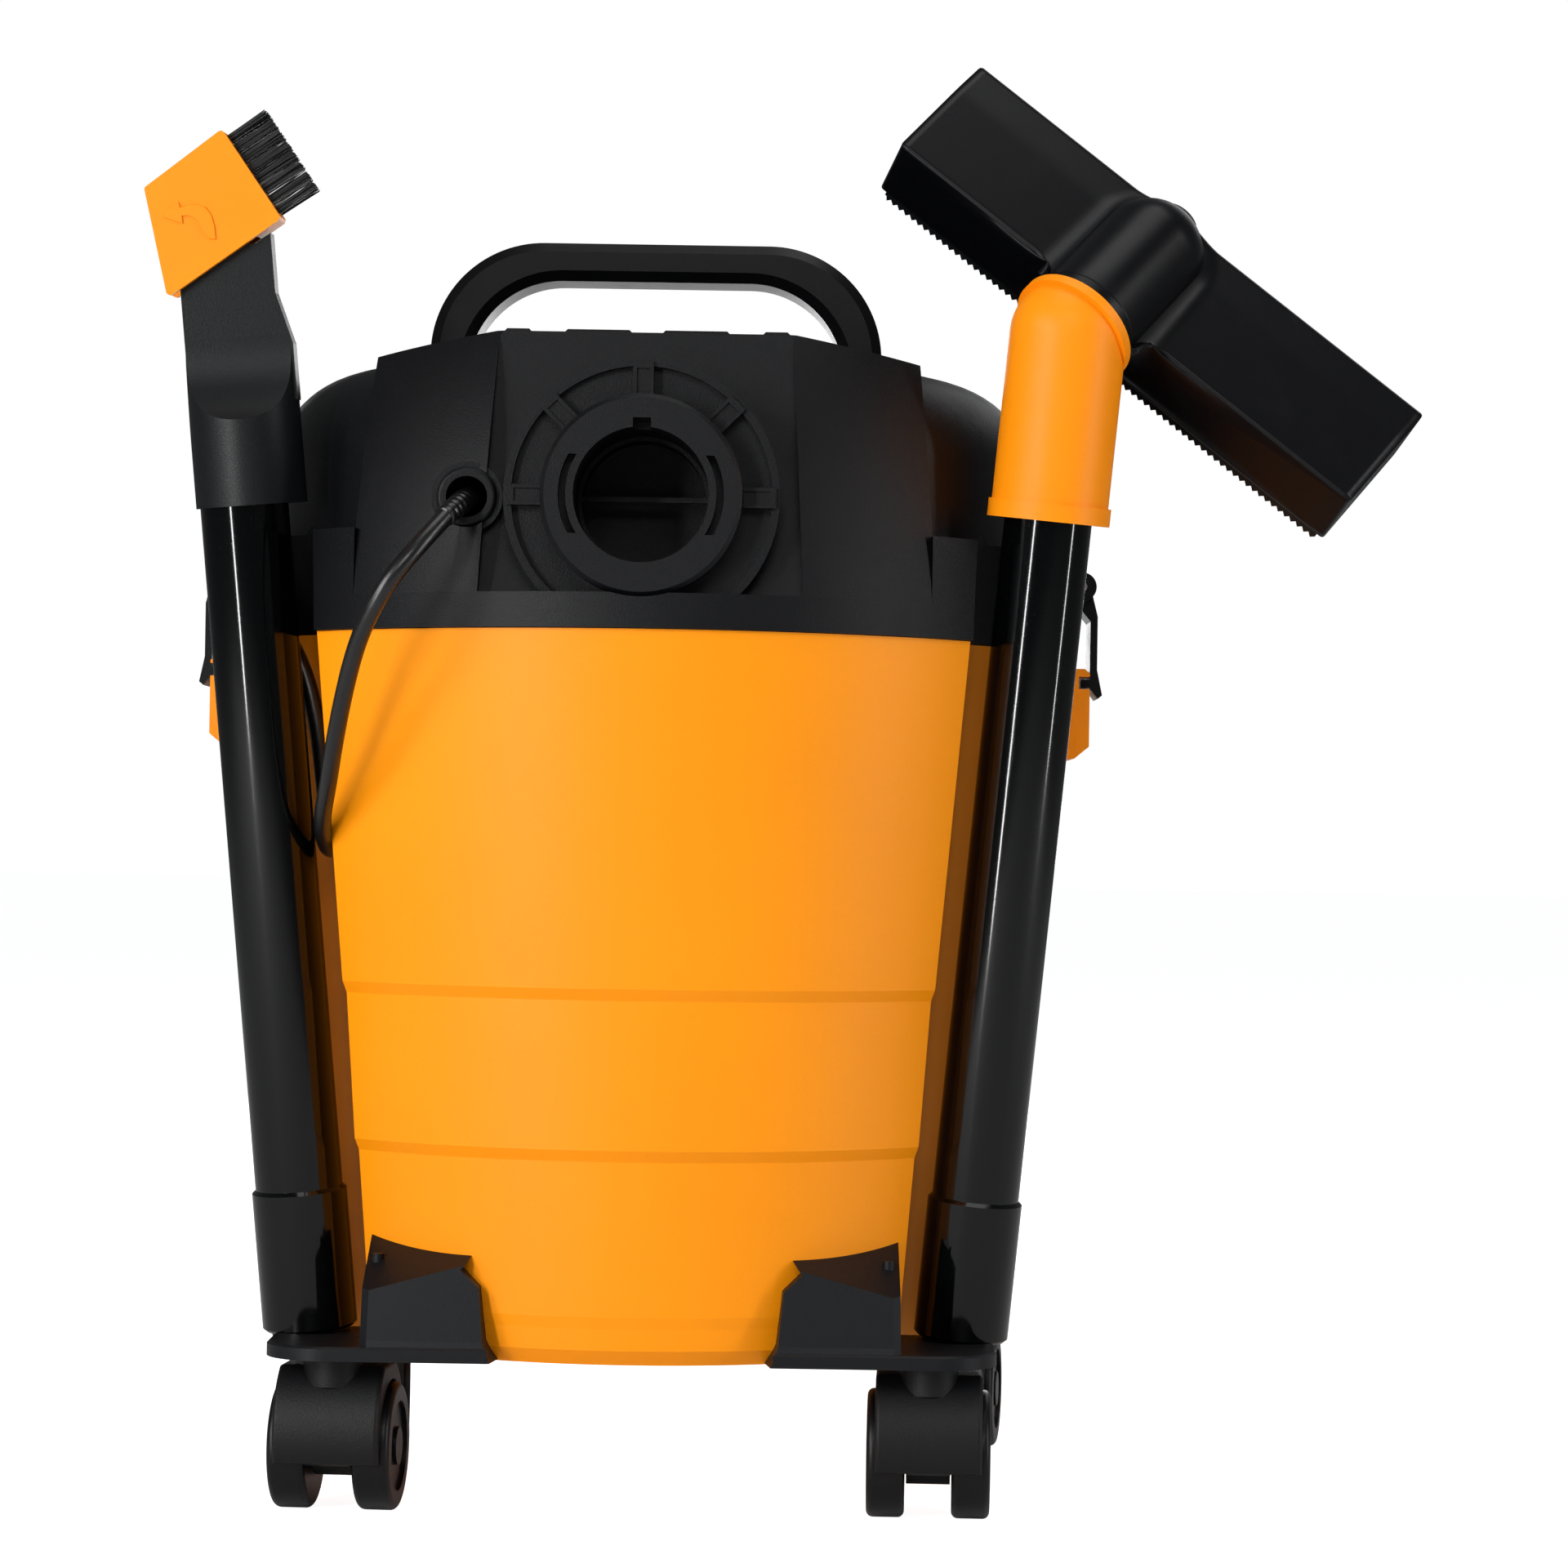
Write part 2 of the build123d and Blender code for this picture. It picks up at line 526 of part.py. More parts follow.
def make_foot_screws():
    """A pan-head screw up through each foot into the boss on the drum's side."""
    parts = []
    for side in (-1, 1):
        for x, y in FOOT_SCREWS:
            parts.append(disc(4.2, PLATE_Z - 2.2, PLATE_Z, side * x, y))
    return Part() + parts


CASTER_TURN = {"rear_left": -5.0, "rear_right": -2.0, "front_left": 6.0, "front_right": -8.0}


def caster_spot(name):
    end, side = name.split("_")
    x, y = REAR_CASTER if end == "rear" else FRONT_CASTER
    turn = CASTER_TURN[name]
    return Pos(-x if side == "left" else x, y, 0) * Rot(0, 0, turn)


def make_hood():
    """Caster hood in its own frame: stem at the origin, axle TRAIL behind it."""
    back = ThreePointArc((-14.5, 21), (-15.2, 40), (-2, 57.6))
    front = ThreePointArc((22, 57.6), (35.5, 48), (40.5, 34))
    rest = Polyline((40.5, 34), (36, 33), (20, 24), (-6, 19), (-14.5, 21))
    side = make_face(back + Line((-2, 57.6), (22, 57.6)) + front + rest)
    hood = extrude(Plane.YZ.offset(-HOOD_HALF) * side, amount=2 * HOOD_HALF)
    flanks = hood.edges().filter_by(lambda e: abs(e.center().X) > HOOD_HALF - 0.01 and e.center().Z > 36)
    hood = fillet(flanks, 1.8)
    wells = rod((-60, TRAIL, WHEEL_R), (60, TRAIL, WHEEL_R), WHEEL_R + 1.0)
    wells -= box(-WHEEL_IN + 0.6, WHEEL_IN - 0.6, -60, 60, -60, 60)
    web = rod((-WHEEL_IN + 0.6, TRAIL, WHEEL_R), (WHEEL_IN - 0.6, TRAIL, WHEEL_R), 12)
    hood = hood - wells + web + disc(11.5, 50, PLATE_Z - GAP)
    hood -= rod((-60, TRAIL, WHEEL_R), (60, TRAIL, WHEEL_R), AXLE_R)
    return hood - disc(STEM_R, 34, 80)


def make_caster_pins():
    axle = rod((-WHEEL_IN - WHEEL_W + 3, TRAIL, WHEEL_R), (WHEEL_IN + WHEEL_W - 3, TRAIL, WHEEL_R), AXLE_R)
    return Part() + [axle, disc(STEM_R, 34, STEM_TOP)]


def make_wheel(hand):
    inner = hand * WHEEL_IN
    outer = hand * (WHEEL_IN + WHEEL_W)
    wheel = rod((inner, TRAIL, WHEEL_R), (outer, TRAIL, WHEEL_R), WHEEL_R)
    wheel = fillet(wheel.edges().filter_by(GeomType.CIRCLE), 2.6)
    dish = rod((outer - hand * 1.6, TRAIL, WHEEL_R), (outer + hand, TRAIL, WHEEL_R), 17.5)
    dish -= rod((outer - hand * 3, TRAIL, WHEEL_R), (outer + hand * 2, TRAIL, WHEEL_R), 7.5)
    wheel -= dish
    bore_end = hand * (WHEEL_IN + WHEEL_W - 2.6)
    return wheel - rod((inner - hand, TRAIL, WHEEL_R), (bore_end, TRAIL, WHEEL_R), AXLE_R + RUN)


# ---------------------------------------------------------------- tubes and tools
TUBE_FOOT_Z = PLATE_Z + PLATE_T + 0.9
TUBE_TOP_Z = COLLAR_Z + 24
TUBE_PULL = 0.35
LEFT = Plane(origin=tube_spot(-1, COLLAR_Z), x_dir=(1, 0, 0.088), z_dir=tube_spot(-1, 500) - tube_spot(-1, 300))


def make_tube(side):
    tube = on_tube(side, TUBE_FOOT_Z, TUBE_TOP_Z, TUBE_R)
    socket = on_tube(side, TUBE_FOOT_Z, SOCKET_TOP, SOCKET_R)
    socket = chamfer(socket.edges().filter_by(GeomType.CIRCLE), 1.4)
    tube = tube + socket
    return tube - on_tube(side, TUBE_FOOT_Z - 5, TUBE_TOP_Z + 5, TUBE_R - TUBE_WALL)


BLADE_X = (-17.5, 19.4)
PIVOT = (-9.5, 108.5)     # brush pivot, across and along the blade
TIP_R = 17.8


SCOOP_Z = 34.0            # lowest point of the scoop on the collar
SCOOP_TOP = 66.0          # where the scoop meets the flat of the blade


def make_crevice():
    """Round collar scooped on both faces down to a flat blade with a round tip."""
    x0, x1 = BLADE_X
    edge = COLLAR_SHIFT + COLLAR_R
    half = BLADE_T / 2
    side = slab([(COLLAR_SHIFT - COLLAR_R, 0), (edge, 0), (edge, 62), (x1, 82), (x1, 105.3), (13, 101.6),
                 (8.3, 101.6), (8.3, PIVOT[1]), (x0, PIVOT[1]), (x0, 60), (COLLAR_SHIFT - COLLAR_R, 20)],
                -COLLAR_R, COLLAR_R)
    collar = Pos(COLLAR_SHIFT, 0, 0) * Cylinder(COLLAR_R, 96, align=UP)
    blade = box(x0, edge, -half, half, 40, PIVOT[1])
    tip = rod((PIVOT[0], -half, PIVOT[1]), (PIVOT[0], half, PIVOT[1]), TIP_R) & box(x0, 20, -30, 30, 90, 140)
    body = ((collar + blade) & side) + tip
    for hand in (-1, 1):
        slope = ThreePointArc((hand * 24, SCOOP_Z - 2), (hand * (half + 4.2), SCOOP_Z + 12), (hand * half, SCOOP_TOP))
        rest = Polyline(slope @ 1, (hand * half, 160), (hand * 40, 160), (hand * 40, SCOOP_Z - 2), slope @ 0)
        body -= extrude(Plane.YZ.offset(-60) * make_face(slope + rest), amount=120)
    body -= disc(TUBE_R + GAP, -1, 27)
    body -= disc(TUBE_R - 3, 20, 34)
    body -= box(-9.5, 11.5, -4, 4, 30, 99)
    body -= box(-3, 7, -4, 4, 40, 150)
    body -= rod((PIVOT[0], -30, PIVOT[1]), (PIVOT[0], 30, PIVOT[1]), 2.5 + RUN)
    return LEFT * body


HOLDER = ((-27.8, 125.9), (4.2, 146.4), (24.5, 110.3), (-22.2, 82.7))
HOLDER_HALF = 11.0
BRUSH_WAY = (0.872, 0.49)


def make_holder():
    block = slab(HOLDER, -HOLDER_HALF, HOLDER_HALF)
    block = fillet(block.edges().filter_by(Axis.Y), 1.6)
    px, pz = PIVOT
    nx, nz = BRUSH_WAY
    face = TIP_R + 0.8

    def across(along, aside):
        """Point so far along the bristles' way from the pivot and so far across it."""
        return (px + nx * along + nz * aside, pz + nz * along - nx * aside)

    corners = [across(face, 70), across(face, -70), across(-60, -70), across(-60, 70)]
    half = BLADE_T / 2 + GAP + 0.2
    block -= slab(corners, -half, half)
    pin = rod((px, -HOLDER_HALF + 1, pz), (px, HOLDER_HALF - 1, pz), 2.5)
    return LEFT * (block - pin)


def make_brush_pin():
    px, pz = PIVOT
    return LEFT * rod((px, -HOLDER_HALF + 1, pz), (px, HOLDER_HALF - 1, pz), 2.5)


def make_bristles():
    """The brush as one plain block, standing on the holder's slanted edge."""
    nx, nz = BRUSH_WAY
    (bx, bz), (cx, cz) = HOLDER[1], HOLDER[2]
    ex, ez = (cx - bx) / 41.4, (cz - bz) / 41.4
    start = (bx + ex * 2.5, bz + ez * 2.5)
    end = (cx - ex * 2.5, cz - ez * 2.5)
    points = [start, end, (end[0] + nx * 18, end[1] + nz * 18), (start[0] + nx * 18, start[1] + nz * 18)]
    return LEFT * slab(points, -8.5, 8.5)


ACROSS = Vector(0.772, -0.087, -0.610).normalized()
SLOPE = Vector(0.620, 0, 0.785).normalized()
OUT = ACROSS.cross(SLOPE).normalized()
TILT = radians(30)
ELBOW_CORNER = tube_spot(1, 464)
FORWARD = (SLOPE * cos(TILT) - OUT * sin(TILT)).normalized()
TOP_WAY = (OUT * cos(TILT) + SLOPE * sin(TILT)).normalized()
NECK_AT = ELBOW_CORNER + FORWARD * 6.0
NOZZLE = Plane(origin=NECK_AT, x_dir=ACROSS, z_dir=TOP_WAY)
NOZZLE_SHIFT = 12.0       # the neck stands off the nozzle's middle
NOZZLE_BACK = 18.5        # rear wall, from the neck's joint
NOZZLE_SINK = 2.0         # nozzle top, below the neck's axis
SPIGOT_R = 19.0


def make_elbow():
    start = tube_spot(1, ELBOW_Z)
    body = rod(start, ELBOW_CORNER, ELBOW_R) + Pos(*ELBOW_CORNER) * Sphere(ELBOW_R) + rod(ELBOW_CORNER, NECK_AT, ELBOW_R)
    body += on_tube(1, ELBOW_Z, ELBOW_Z + 7, ELBOW_R + 1.2)
    body += rod(NECK_AT - FORWARD * 4.0, NECK_AT, ELBOW_R + 2.2)
    body -= rod(NECK_AT, NECK_AT + FORWARD * 40, 60)
    body -= on_tube(1, ELBOW_Z - 5, TUBE_TOP_Z + 4, TUBE_R + GAP)
    body -= on_tube(1, TUBE_TOP_Z, 455, TUBE_R - 2)
    body -= Pos(*(ELBOW_CORNER - FORWARD * 3)) * Sphere(TUBE_R - 1)
    return body - rod(NECK_AT - FORWARD * 9.0, NECK_AT + FORWARD, SPIGOT_R + GAP + 0.2)


def make_nozzle():
    """Floor nozzle in its own frame: x along its length, y forward, z out of its top."""
    x0 = NOZZLE_SHIFT - NOZZLE_LENGTH / 2
    x1 = NOZZLE_SHIFT + NOZZLE_LENGTH / 2
    y0 = NOZZLE_BACK
    y1 = NOZZLE_BACK + NOZZLE_WIDTH
    top = -NOZZLE_SINK
    low = top - NOZZLE_HEIGHT
    shell = box(x0, x1, y0, y1, low, top)
    shell = fillet(shell.edges().filter_by(Axis.Z), 7)
    shell = fillet(shell.edges().group_by(Axis.Z)[-1], 4)
    neck = rod((0, -4, 0), (0, y1 - 24, -3), NECK_R) + Pos(0, y1 - 24, -3) * Sphere(NECK_R)
    neck &= box(-60, 60, GAP + 0.2, 100, low + 2, 60)
    body = shell + neck + rod((0, -7, 0), (0, GAP + 1, 0), SPIGOT_R)
    hollow = box(x0 + WALL, x1 - WALL, y0 + WALL, y1 - WALL, low - 1, top - WALL)
    body -= hollow
    body -= rod((0, -8, 0), (0, 34, -1), SPIGOT_R - 3)
    return NOZZLE * body


def make_sole():
    """Ground plate with a suction slot and a row of teeth along its rear edge."""
    x0 = NOZZLE_SHIFT - NOZZLE_LENGTH / 2 + 3
    x1 = NOZZLE_SHIFT + NOZZLE_LENGTH / 2 - 3
    y0 = NOZZLE_BACK + 1
    y1 = NOZZLE_BACK + NOZZLE_WIDTH - 4
    high = -NOZZLE_SINK - NOZZLE_HEIGHT
    plate = box(x0, x1, y0, y1, high - 3.2, high) - box(x0 + 14, x1 - 14, y0 + 22, y1 - 12, high - 5, high + 1)
    teeth = ceil((x1 - x0) / 3.3)
    pitch = (x1 - x0) / teeth
    outline = [(x0, high - 1)]
    for step in range(teeth):
        outline.append((x0 + (step + 0.5) * pitch, high - 5.6))
        outline.append((x0 + (step + 1) * pitch, high - 3.4))
    outline.append((x1, high - 1))
    return NOZZLE * (plate + slab(outline, y0, y0 + 3))


# ---------------------------------------------------------------- cord
HOOK_AT = (-172.8, -53.0, 371.0)
RELIEF = ((-67.0, -137.0, 393.5), (-67.8, -156.0, 392.2), (-74.0, -166.0, 384.5))
ROUTE = ((-74.0, -166.0, 384.5), (-81.5, -175.5, 374.5), (-92.5, -180, 361), (-101, -177, 347), (-107.4, -168, 332.6),
         (-112.7, -156, 314.5), (-116.8, -144, 298), (-120.3, -130, 283), (-124, -115, 270.5), (-124.6, -102, 262),
         (-122.9, -92, 257.5), (-123, -84, 260), (-125, -80.8, 269), (-127, -81.5, 285), (-129.6, -81, 306),
         (-136, -77, 330),
         (-147.5, -72.7, 349), (-160, -73, 364), (-168, -68, 377), (-167.5, -59, 384), (-167, -49, 383.5),
         (-168.7, -42.5, 373), (-169.3, -41, 352), (-167, -42, 325), (-163, -38, 280), (-158.5, -32, 230), (-154, -20, 180),
         (-150.5, 5, 137), (-147.5, 40, 103), (-147, 80, 78), (-148.5, 120, 72), (-150.5, 155, 58), (-152, 180, 30),
         (-153.5, 205, 8), (-154.5, 240, 3.6), (-156, 290, 3.6), (-153, 340, 3.6), (-143, 385, 3.6), (-125, 420, 3.6))


def cord_radii(points):
    spots = [Vector(*p) for p in points]
    radii = []
    for before, here, after in zip(spots, spots[1:], spots[2:]):
        a, b = here - before, after - here
        turn = radians(a.get_angle(b))
        radii.append(0.45 * min(a.length, b.length) / tan(turn / 2))
    return radii


COIL_ENTRY = Vector(-113.6, 434.2, 3.6)


def make_cord():
    points = list(ROUTE) + [tuple(COIL_ENTRY)]
    radii = cord_radii(points)
    path = FilletPolyline(*points, radius=radii)
    section = Plane(origin=path @ 0, z_dir=path % 0) * Circle(CORD_R)
    tube = sweep(section, path=path)
    whole = pi * CORD_R ** 2 * path.length
    print("cord radii", [round(r) for r in radii])
    print("cord tube length", round(path.length), "volume over section times length", round(tube.volume / whole, 4))
    return tube, path.length


def make_relief():
    path = FilletPolyline(*RELIEF, radius=11)
    section = Plane(origin=path @ 0, z_dir=path % 0) * Circle(4.8)
    return sweep(section, path=path)


def make_coil():
    x, y = COIL_AT
    ring = disc(COIL_R + COIL_T / 2, 0.1, 0.1 + COIL_T, x, y) - disc(COIL_R - COIL_T / 2, -1, COIL_T + 1, x, y)
    return fillet(ring.edges().filter_by(GeomType.CIRCLE), 3)


PLUG_AT = (COIL_AT[0] + 6, COIL_AT[1] - 2)


def make_plug():
    x, y = PLUG_AT
    low = COIL_T + 0.4
    body = box(x - 26, x + 22, y - 13, y + 13, low, low + 20)
    body = fillet(body.edges().filter_by(Axis.X), 7)
    neck = Solid.make_cone(4.6, 7.5, 16, plane=Plane(origin=(x - 41, y, low + 10), z_dir=(1, 0, 0)))
    return body + neck


def make_plug_pins():
    x, y = PLUG_AT
    pins = [rod((x + 22, y + dy, COIL_T + 10.4), (x + 41, y + dy, COIL_T + 10.4), 2.4) for dy in (-9.5, 9.5)]
    return Part() + pins


# ---------------------------------------------------------------- assembly
CORD_NODES = ("cord_strain_relief", "power_cord", "cord_coil", "plug_body", "plug_pins")


def build():
    nodes = {
        "tank": make_tank(), "tank_seal": make_seal(), "inlet_port": make_inlet(),
        "head_base": make_base(), "head_cover": make_cover(), "port_ring": make_port(),
        "handle": make_handle(), "handle_screws": make_handle_screws(),
        "cord_grommet": make_grommet(), "cord_hook": make_cord_hook(),
        "switch_bezel": make_switch_bezel(), "switch_rocker": make_rocker(),
        "fan_housing": make_fan_housing(), "impeller": make_impeller(), "motor": make_motor(),
        "filter_cage": make_cage(), "filter_sleeve": make_sleeve(), "float_ball": make_ball(),
        "crevice_tool": make_crevice(), "brush_holder": make_holder(), "brush_pin": make_brush_pin(),
        "brush_bristles": make_bristles(),
        "nozzle_elbow": make_elbow(), "nozzle_body": make_nozzle(), "nozzle_sole": make_sole(),
        "foot_screws": make_foot_screws(),
    }
    for side, hand in ((-1, "left"), (1, "right")):
        nodes["latch_" + hand] = make_latch(side)
        nodes["latch_pin_" + hand] = make_latch_pin(side)
        nodes["tube_" + hand] = make_tube(side)
        for end, place in ((-1, "rear"), (1, "front")):
            name = place + "_" + hand
            spot = caster_spot(name)
            nodes["foot_" + name] = make_foot(side, end)
            nodes["hood_" + name] = spot * make_hood()
            nodes["pins_" + name] = spot * make_caster_pins()
            nodes["wheel_a_" + name] = spot * make_wheel(-1)
            nodes["wheel_b_" + name] = spot * make_wheel(1)
    tube, length = make_cord()
    nodes["cord_strain_relief"] = make_relief()
    nodes["power_cord"] = tube
    nodes["cord_coil"] = make_coil()
    nodes["plug_body"] = make_plug()
    nodes["plug_pins"] = make_plug_pins()
    return nodes


def middle(nodes):
    """Shift that puts the bottom centre of the machine's box at the origin."""
    boxes = [shape.bounding_box() for name, shape in nodes.items() if name not in CORD_NODES]
    low = [min(getattr(b.min, axis) for b in boxes) for axis in "XYZ"]
    high = [max(getattr(b.max, axis) for b in boxes) for axis in "XYZ"]
    return Pos(-(low[0] + high[0]) / 2, -(low[1] + high[1]) / 2, -low[2])


def main():
    os.makedirs("parts", exist_ok=True)
    nodes = build()
    shift = middle(nodes)
    print("shift", shift.position)
    for name, shape in nodes.items():
        export_step(shift * shape, "parts/" + name + ".step")


if __name__ == "__main__":
    main()
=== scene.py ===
import json
from math import cos, pi, radians, sin

import bmesh
import bpy
import numpy as np
from mathutils import Matrix, Vector


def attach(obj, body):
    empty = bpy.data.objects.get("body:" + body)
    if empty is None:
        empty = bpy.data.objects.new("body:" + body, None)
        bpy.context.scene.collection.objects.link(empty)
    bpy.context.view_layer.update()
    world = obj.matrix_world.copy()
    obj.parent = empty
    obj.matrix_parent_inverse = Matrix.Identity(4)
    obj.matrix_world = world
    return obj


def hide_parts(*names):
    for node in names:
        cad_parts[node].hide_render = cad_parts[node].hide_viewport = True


# Looks of a drum vacuum cleaner whose tubes, crevice tool, dusting brush and floor nozzle
# stand on its back. Metres, in the row's frame: +Z up, -Y out of the blower port.

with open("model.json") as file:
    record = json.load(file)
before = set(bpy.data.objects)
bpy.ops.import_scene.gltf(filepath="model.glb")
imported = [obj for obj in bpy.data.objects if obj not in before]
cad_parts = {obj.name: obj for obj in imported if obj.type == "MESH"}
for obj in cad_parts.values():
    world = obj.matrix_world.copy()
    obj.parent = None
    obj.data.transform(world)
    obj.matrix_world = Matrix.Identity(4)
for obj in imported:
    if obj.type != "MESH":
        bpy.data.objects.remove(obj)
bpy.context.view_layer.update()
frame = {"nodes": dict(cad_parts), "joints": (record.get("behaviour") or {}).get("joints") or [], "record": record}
nodes = frame["nodes"]
joints = {joint["name"]: joint for joint in frame["joints"]}
rng = np.random.default_rng(7)

DRUM = Vector(joints["impeller_spin"]["pos_m"])      # a point on the drum's axis
MM = 0.001


def spot(x, y, z):
    """Millimetres from the drum's axis and the floor, as a point in the row's frame."""
    return Vector((DRUM.x + x * MM, DRUM.y + y * MM, z * MM))


# ---------------------------------------------------------------- camera, floor and lights
def make_camera():
    data = bpy.data.cameras.new("camera")
    data.sensor_width = 36.0
    data.lens = 99.3
    data.clip_end = 50
    camera = bpy.data.objects.new("camera", data)
    bpy.context.scene.collection.objects.link(camera)
    pitch, roll = radians(90.87), radians(0.9)
    turn = Matrix.Rotation(pitch, 4, "X") @ Matrix.Rotation(roll, 4, "Z")
    camera.matrix_world = Matrix.Translation(spot(55.8, -1800, 260.7)) @ turn
    bpy.context.scene.camera = camera
    bpy.context.scene.view_settings.view_transform = "Standard"


def area_light(name, place, target, width, height, power):
    data = bpy.data.lights.new(name, "AREA")
    data.shape = "RECTANGLE"
    data.size, data.size_y = width, height
    data.energy = power
    lamp = bpy.data.objects.new(name, data)
    bpy.context.scene.collection.objects.link(lamp)
    aim = Vector(target) - Vector(place)
    lamp.matrix_world = Matrix.Translation(place) @ aim.to_track_quat("-Z", "Y").to_matrix().to_4x4()


def make_lights():
    middle = (0, 0, 0.3)
    area_light("strip_left", (-1.25, -1.9, 0.45), middle, 0.11, 1.5, 30)
    area_light("soft_left", (-1.9, -1.5, 1.1), middle, 0.7, 0.9, 22)
    area_light("strip_right", (1.75, -0.75, 0.55), middle, 0.07, 1.7, 15)
    area_light("front_soft", (0.1, -2.6, 1.7), (0, 0, 0.2), 1.1, 0.8, 16)
    area_light("top_soft", (0.2, -0.3, 2.1), middle, 1.4, 1.0, 10)
    area_light("back_rim", (0.9, 1.6, 1.4), middle, 0.8, 0.8, 2.5)
    area_light("back_fill", (-0.1, 2.6, 0.6), middle, 1.6, 0.8, 16)
    world = bpy.data.worlds.new("studio")
    world.use_nodes = True
    tree = world.node_tree
    seen = tree.nodes.new("ShaderNodeLightPath")
    white = tree.nodes.new("ShaderNodeBackground")
    white.inputs["Strength"].default_value = 1.0
    white.inputs["Color"].default_value = (1, 1, 1, 1)
    dim = tree.nodes["Background"]
    dim.inputs["Color"].default_value = (0.95, 0.97, 1, 1)
    dim.inputs["Strength"].default_value = 0.12
    pick = tree.nodes.new("ShaderNodeMixShader")
    tree.links.new(seen.outputs["Is Camera Ray"], pick.inputs[0])
    tree.links.new(dim.outputs[0], pick.inputs[1])
    tree.links.new(white.outputs[0], pick.inputs[2])
    tree.links.new(pick.outputs[0], tree.nodes["World Output"].inputs["Surface"])
    bpy.context.scene.world = world


# ---------------------------------------------------------------- shader arithmetic
class Field:
    """A shader socket that takes part in Python arithmetic."""

    def __init__(self, tree, socket):
        self.tree = tree
        self.socket = socket

    def node(self, kind, settings=None, **inputs):
        made = self.tree.nodes.new(kind)
        for name, value in (settings or {}).items():
            if name == "stops":
                ramp = made.color_ramp
                ramp.elements[0].position, ramp.elements[0].color = value[0]
                ramp.elements[1].position, ramp.elements[1].color = value[-1]
                for place, colour in value[1:-1]:
                    ramp.elements.new(place).color = colour
            else:
                setattr(made, name, value)
        for name, value in inputs.items():
            key = int(name[1:]) if name[0] == "_" else name.replace("_", " ")
            if isinstance(value, Field):
                self.tree.links.new(value.socket, made.inputs[key])
            else:
                made.inputs[key].default_value = value
        return made

    def math(self, operation, other):
        made = self.node("ShaderNodeMath", {"operation": operation}, _0=self, _1=other)
        return Field(self.tree, made.outputs[0])

    def __add__(self, other):
        return self.math("ADD", other)

    def __sub__(self, other):
        return self.math("SUBTRACT", other)

    def __mul__(self, other):
        return self.math("MULTIPLY", other)

    def __rsub__(self, other):
        made = self.node("ShaderNodeMath", {"operation": "SUBTRACT"}, _0=other, _1=self)
        return Field(self.tree, made.outputs[0])

    __radd__ = __add__
    __rmul__ = __mul__

    def band(self, low, high):
        """0 below low, 1 above high, smooth between."""
        made = self.node("ShaderNodeMapRange", {"interpolation_type": "SMOOTHSTEP"}, _0=self, _1=low, _2=high)
        return Field(self.tree, made.outputs[0])


class Finish:
    """A material on object coordinates: patterns in, one glossy surface out."""

    def __init__(self, name):
        self.material = bpy.data.materials.new(name)
        self.material.use_nodes = True
        self.tree = self.material.node_tree
        self.surface = self.tree.nodes["Principled BSDF"]
        place = self.tree.nodes.new("ShaderNodeTexCoord")
        self.place = Field(self.tree, place.outputs["Object"])

    def stretched(self, x, y, z):
        made = self.place.node("ShaderNodeMapping", None, Vector=self.place, Scale=(x, y, z))
        return Field(self.tree, made.outputs[0])

    def noise(self, scale, detail=3.0, roughness=0.55, on=None):
        made = self.place.node("ShaderNodeTexNoise", None, Vector=on or self.place, Scale=scale, Detail=detail,
                               Roughness=roughness)
        return Field(self.tree, made.outputs[0])

    def cells(self, scale):
        made = self.place.node("ShaderNodeTexVoronoi", None, Vector=self.place, Scale=scale)
        return Field(self.tree, made.outputs["Distance"])

    def blend(self, share, first, second):
        made = self.place.node("ShaderNodeMix", {"data_type": "RGBA"}, _0=share, _6=first, _7=second)
        return Field(self.tree, made.outputs[2])

    def set(self, **values):
        for name, value in values.items():
            key = name.replace("_", " ")
            if isinstance(value, Field):
                self.tree.links.new(value.socket, self.surface.inputs[key])
            else:
                self.surface.inputs[key].default_value = value
        return self

    def bump(self, height, depth):
        made = self.place.node("ShaderNodeBump", None, Strength=1.0, Distance=depth, Height=height)
        self.tree.links.new(made.outputs[0], self.surface.inputs["Normal"])
        return self.material


def shade(colour, factor):
    return tuple(min(1.0, channel * factor) for channel in colour) + (1.0,)


def moulded(name, colour, roughness, grain=0.5, grain_size=0.0007, depth=0.00006, specular=0.5):
    """Injection-moulded plastic: fine spark grain, faint flow clouds and a little handling wear.

    Colour is 0.88 to 1.12 of the given one, by 0.7 clouds + 0.3 grain. Roughness adds 0.16 of the
    grain about its middle, 0.07 of the rubs and 0.06 of the clouds.
    """
    finish = Finish(name)
    fine = finish.noise(1.0 / grain_size, 2.0, 0.6)
    clouds = finish.noise(9.0, 4.0, 0.55)
    rubbed = finish.noise(38.0, 5.0, 0.65).band(0.52, 0.78)
    tone = clouds * 0.7 + fine * 0.3
    finish.set(Base_Color=finish.blend(tone, shade(colour, 0.88), shade(colour, 1.12)))
    finish.set(Roughness=(fine - 0.5) * 0.16 + rubbed * 0.07 + clouds * 0.06 + (roughness - 0.04))
    finish.set(Specular_IOR_Level=specular)
    return finish.bump(fine * grain + clouds * 0.15, depth)


def glossy_tube():
    """Polished extruded tube: faint draw lines along it, dust and hairline rubs."""
    finish = Finish("tube_gloss")
    lines = finish.noise(220.0, 2.0, 0.5, on=finish.stretched(1.0, 1.0, 0.012))
    rubs = finish.noise(60.0, 6.0, 0.7, on=finish.stretched(1.0, 1.0, 0.15)).band(0.55, 0.8)
    dust = finish.noise(1400.0, 1.0).band(0.66, 0.74)
    finish.set(Base_Color=finish.blend(dust * 0.5 + rubs * 0.12, (0.0006, 0.0008, 0.001, 1), (0.012, 0.012, 0.013, 1)))
    finish.set(Roughness=rubs * 0.06 + dust * 0.1 + 0.09, Specular_IOR_Level=0.3)
    return finish.bump(lines, 0.000012)


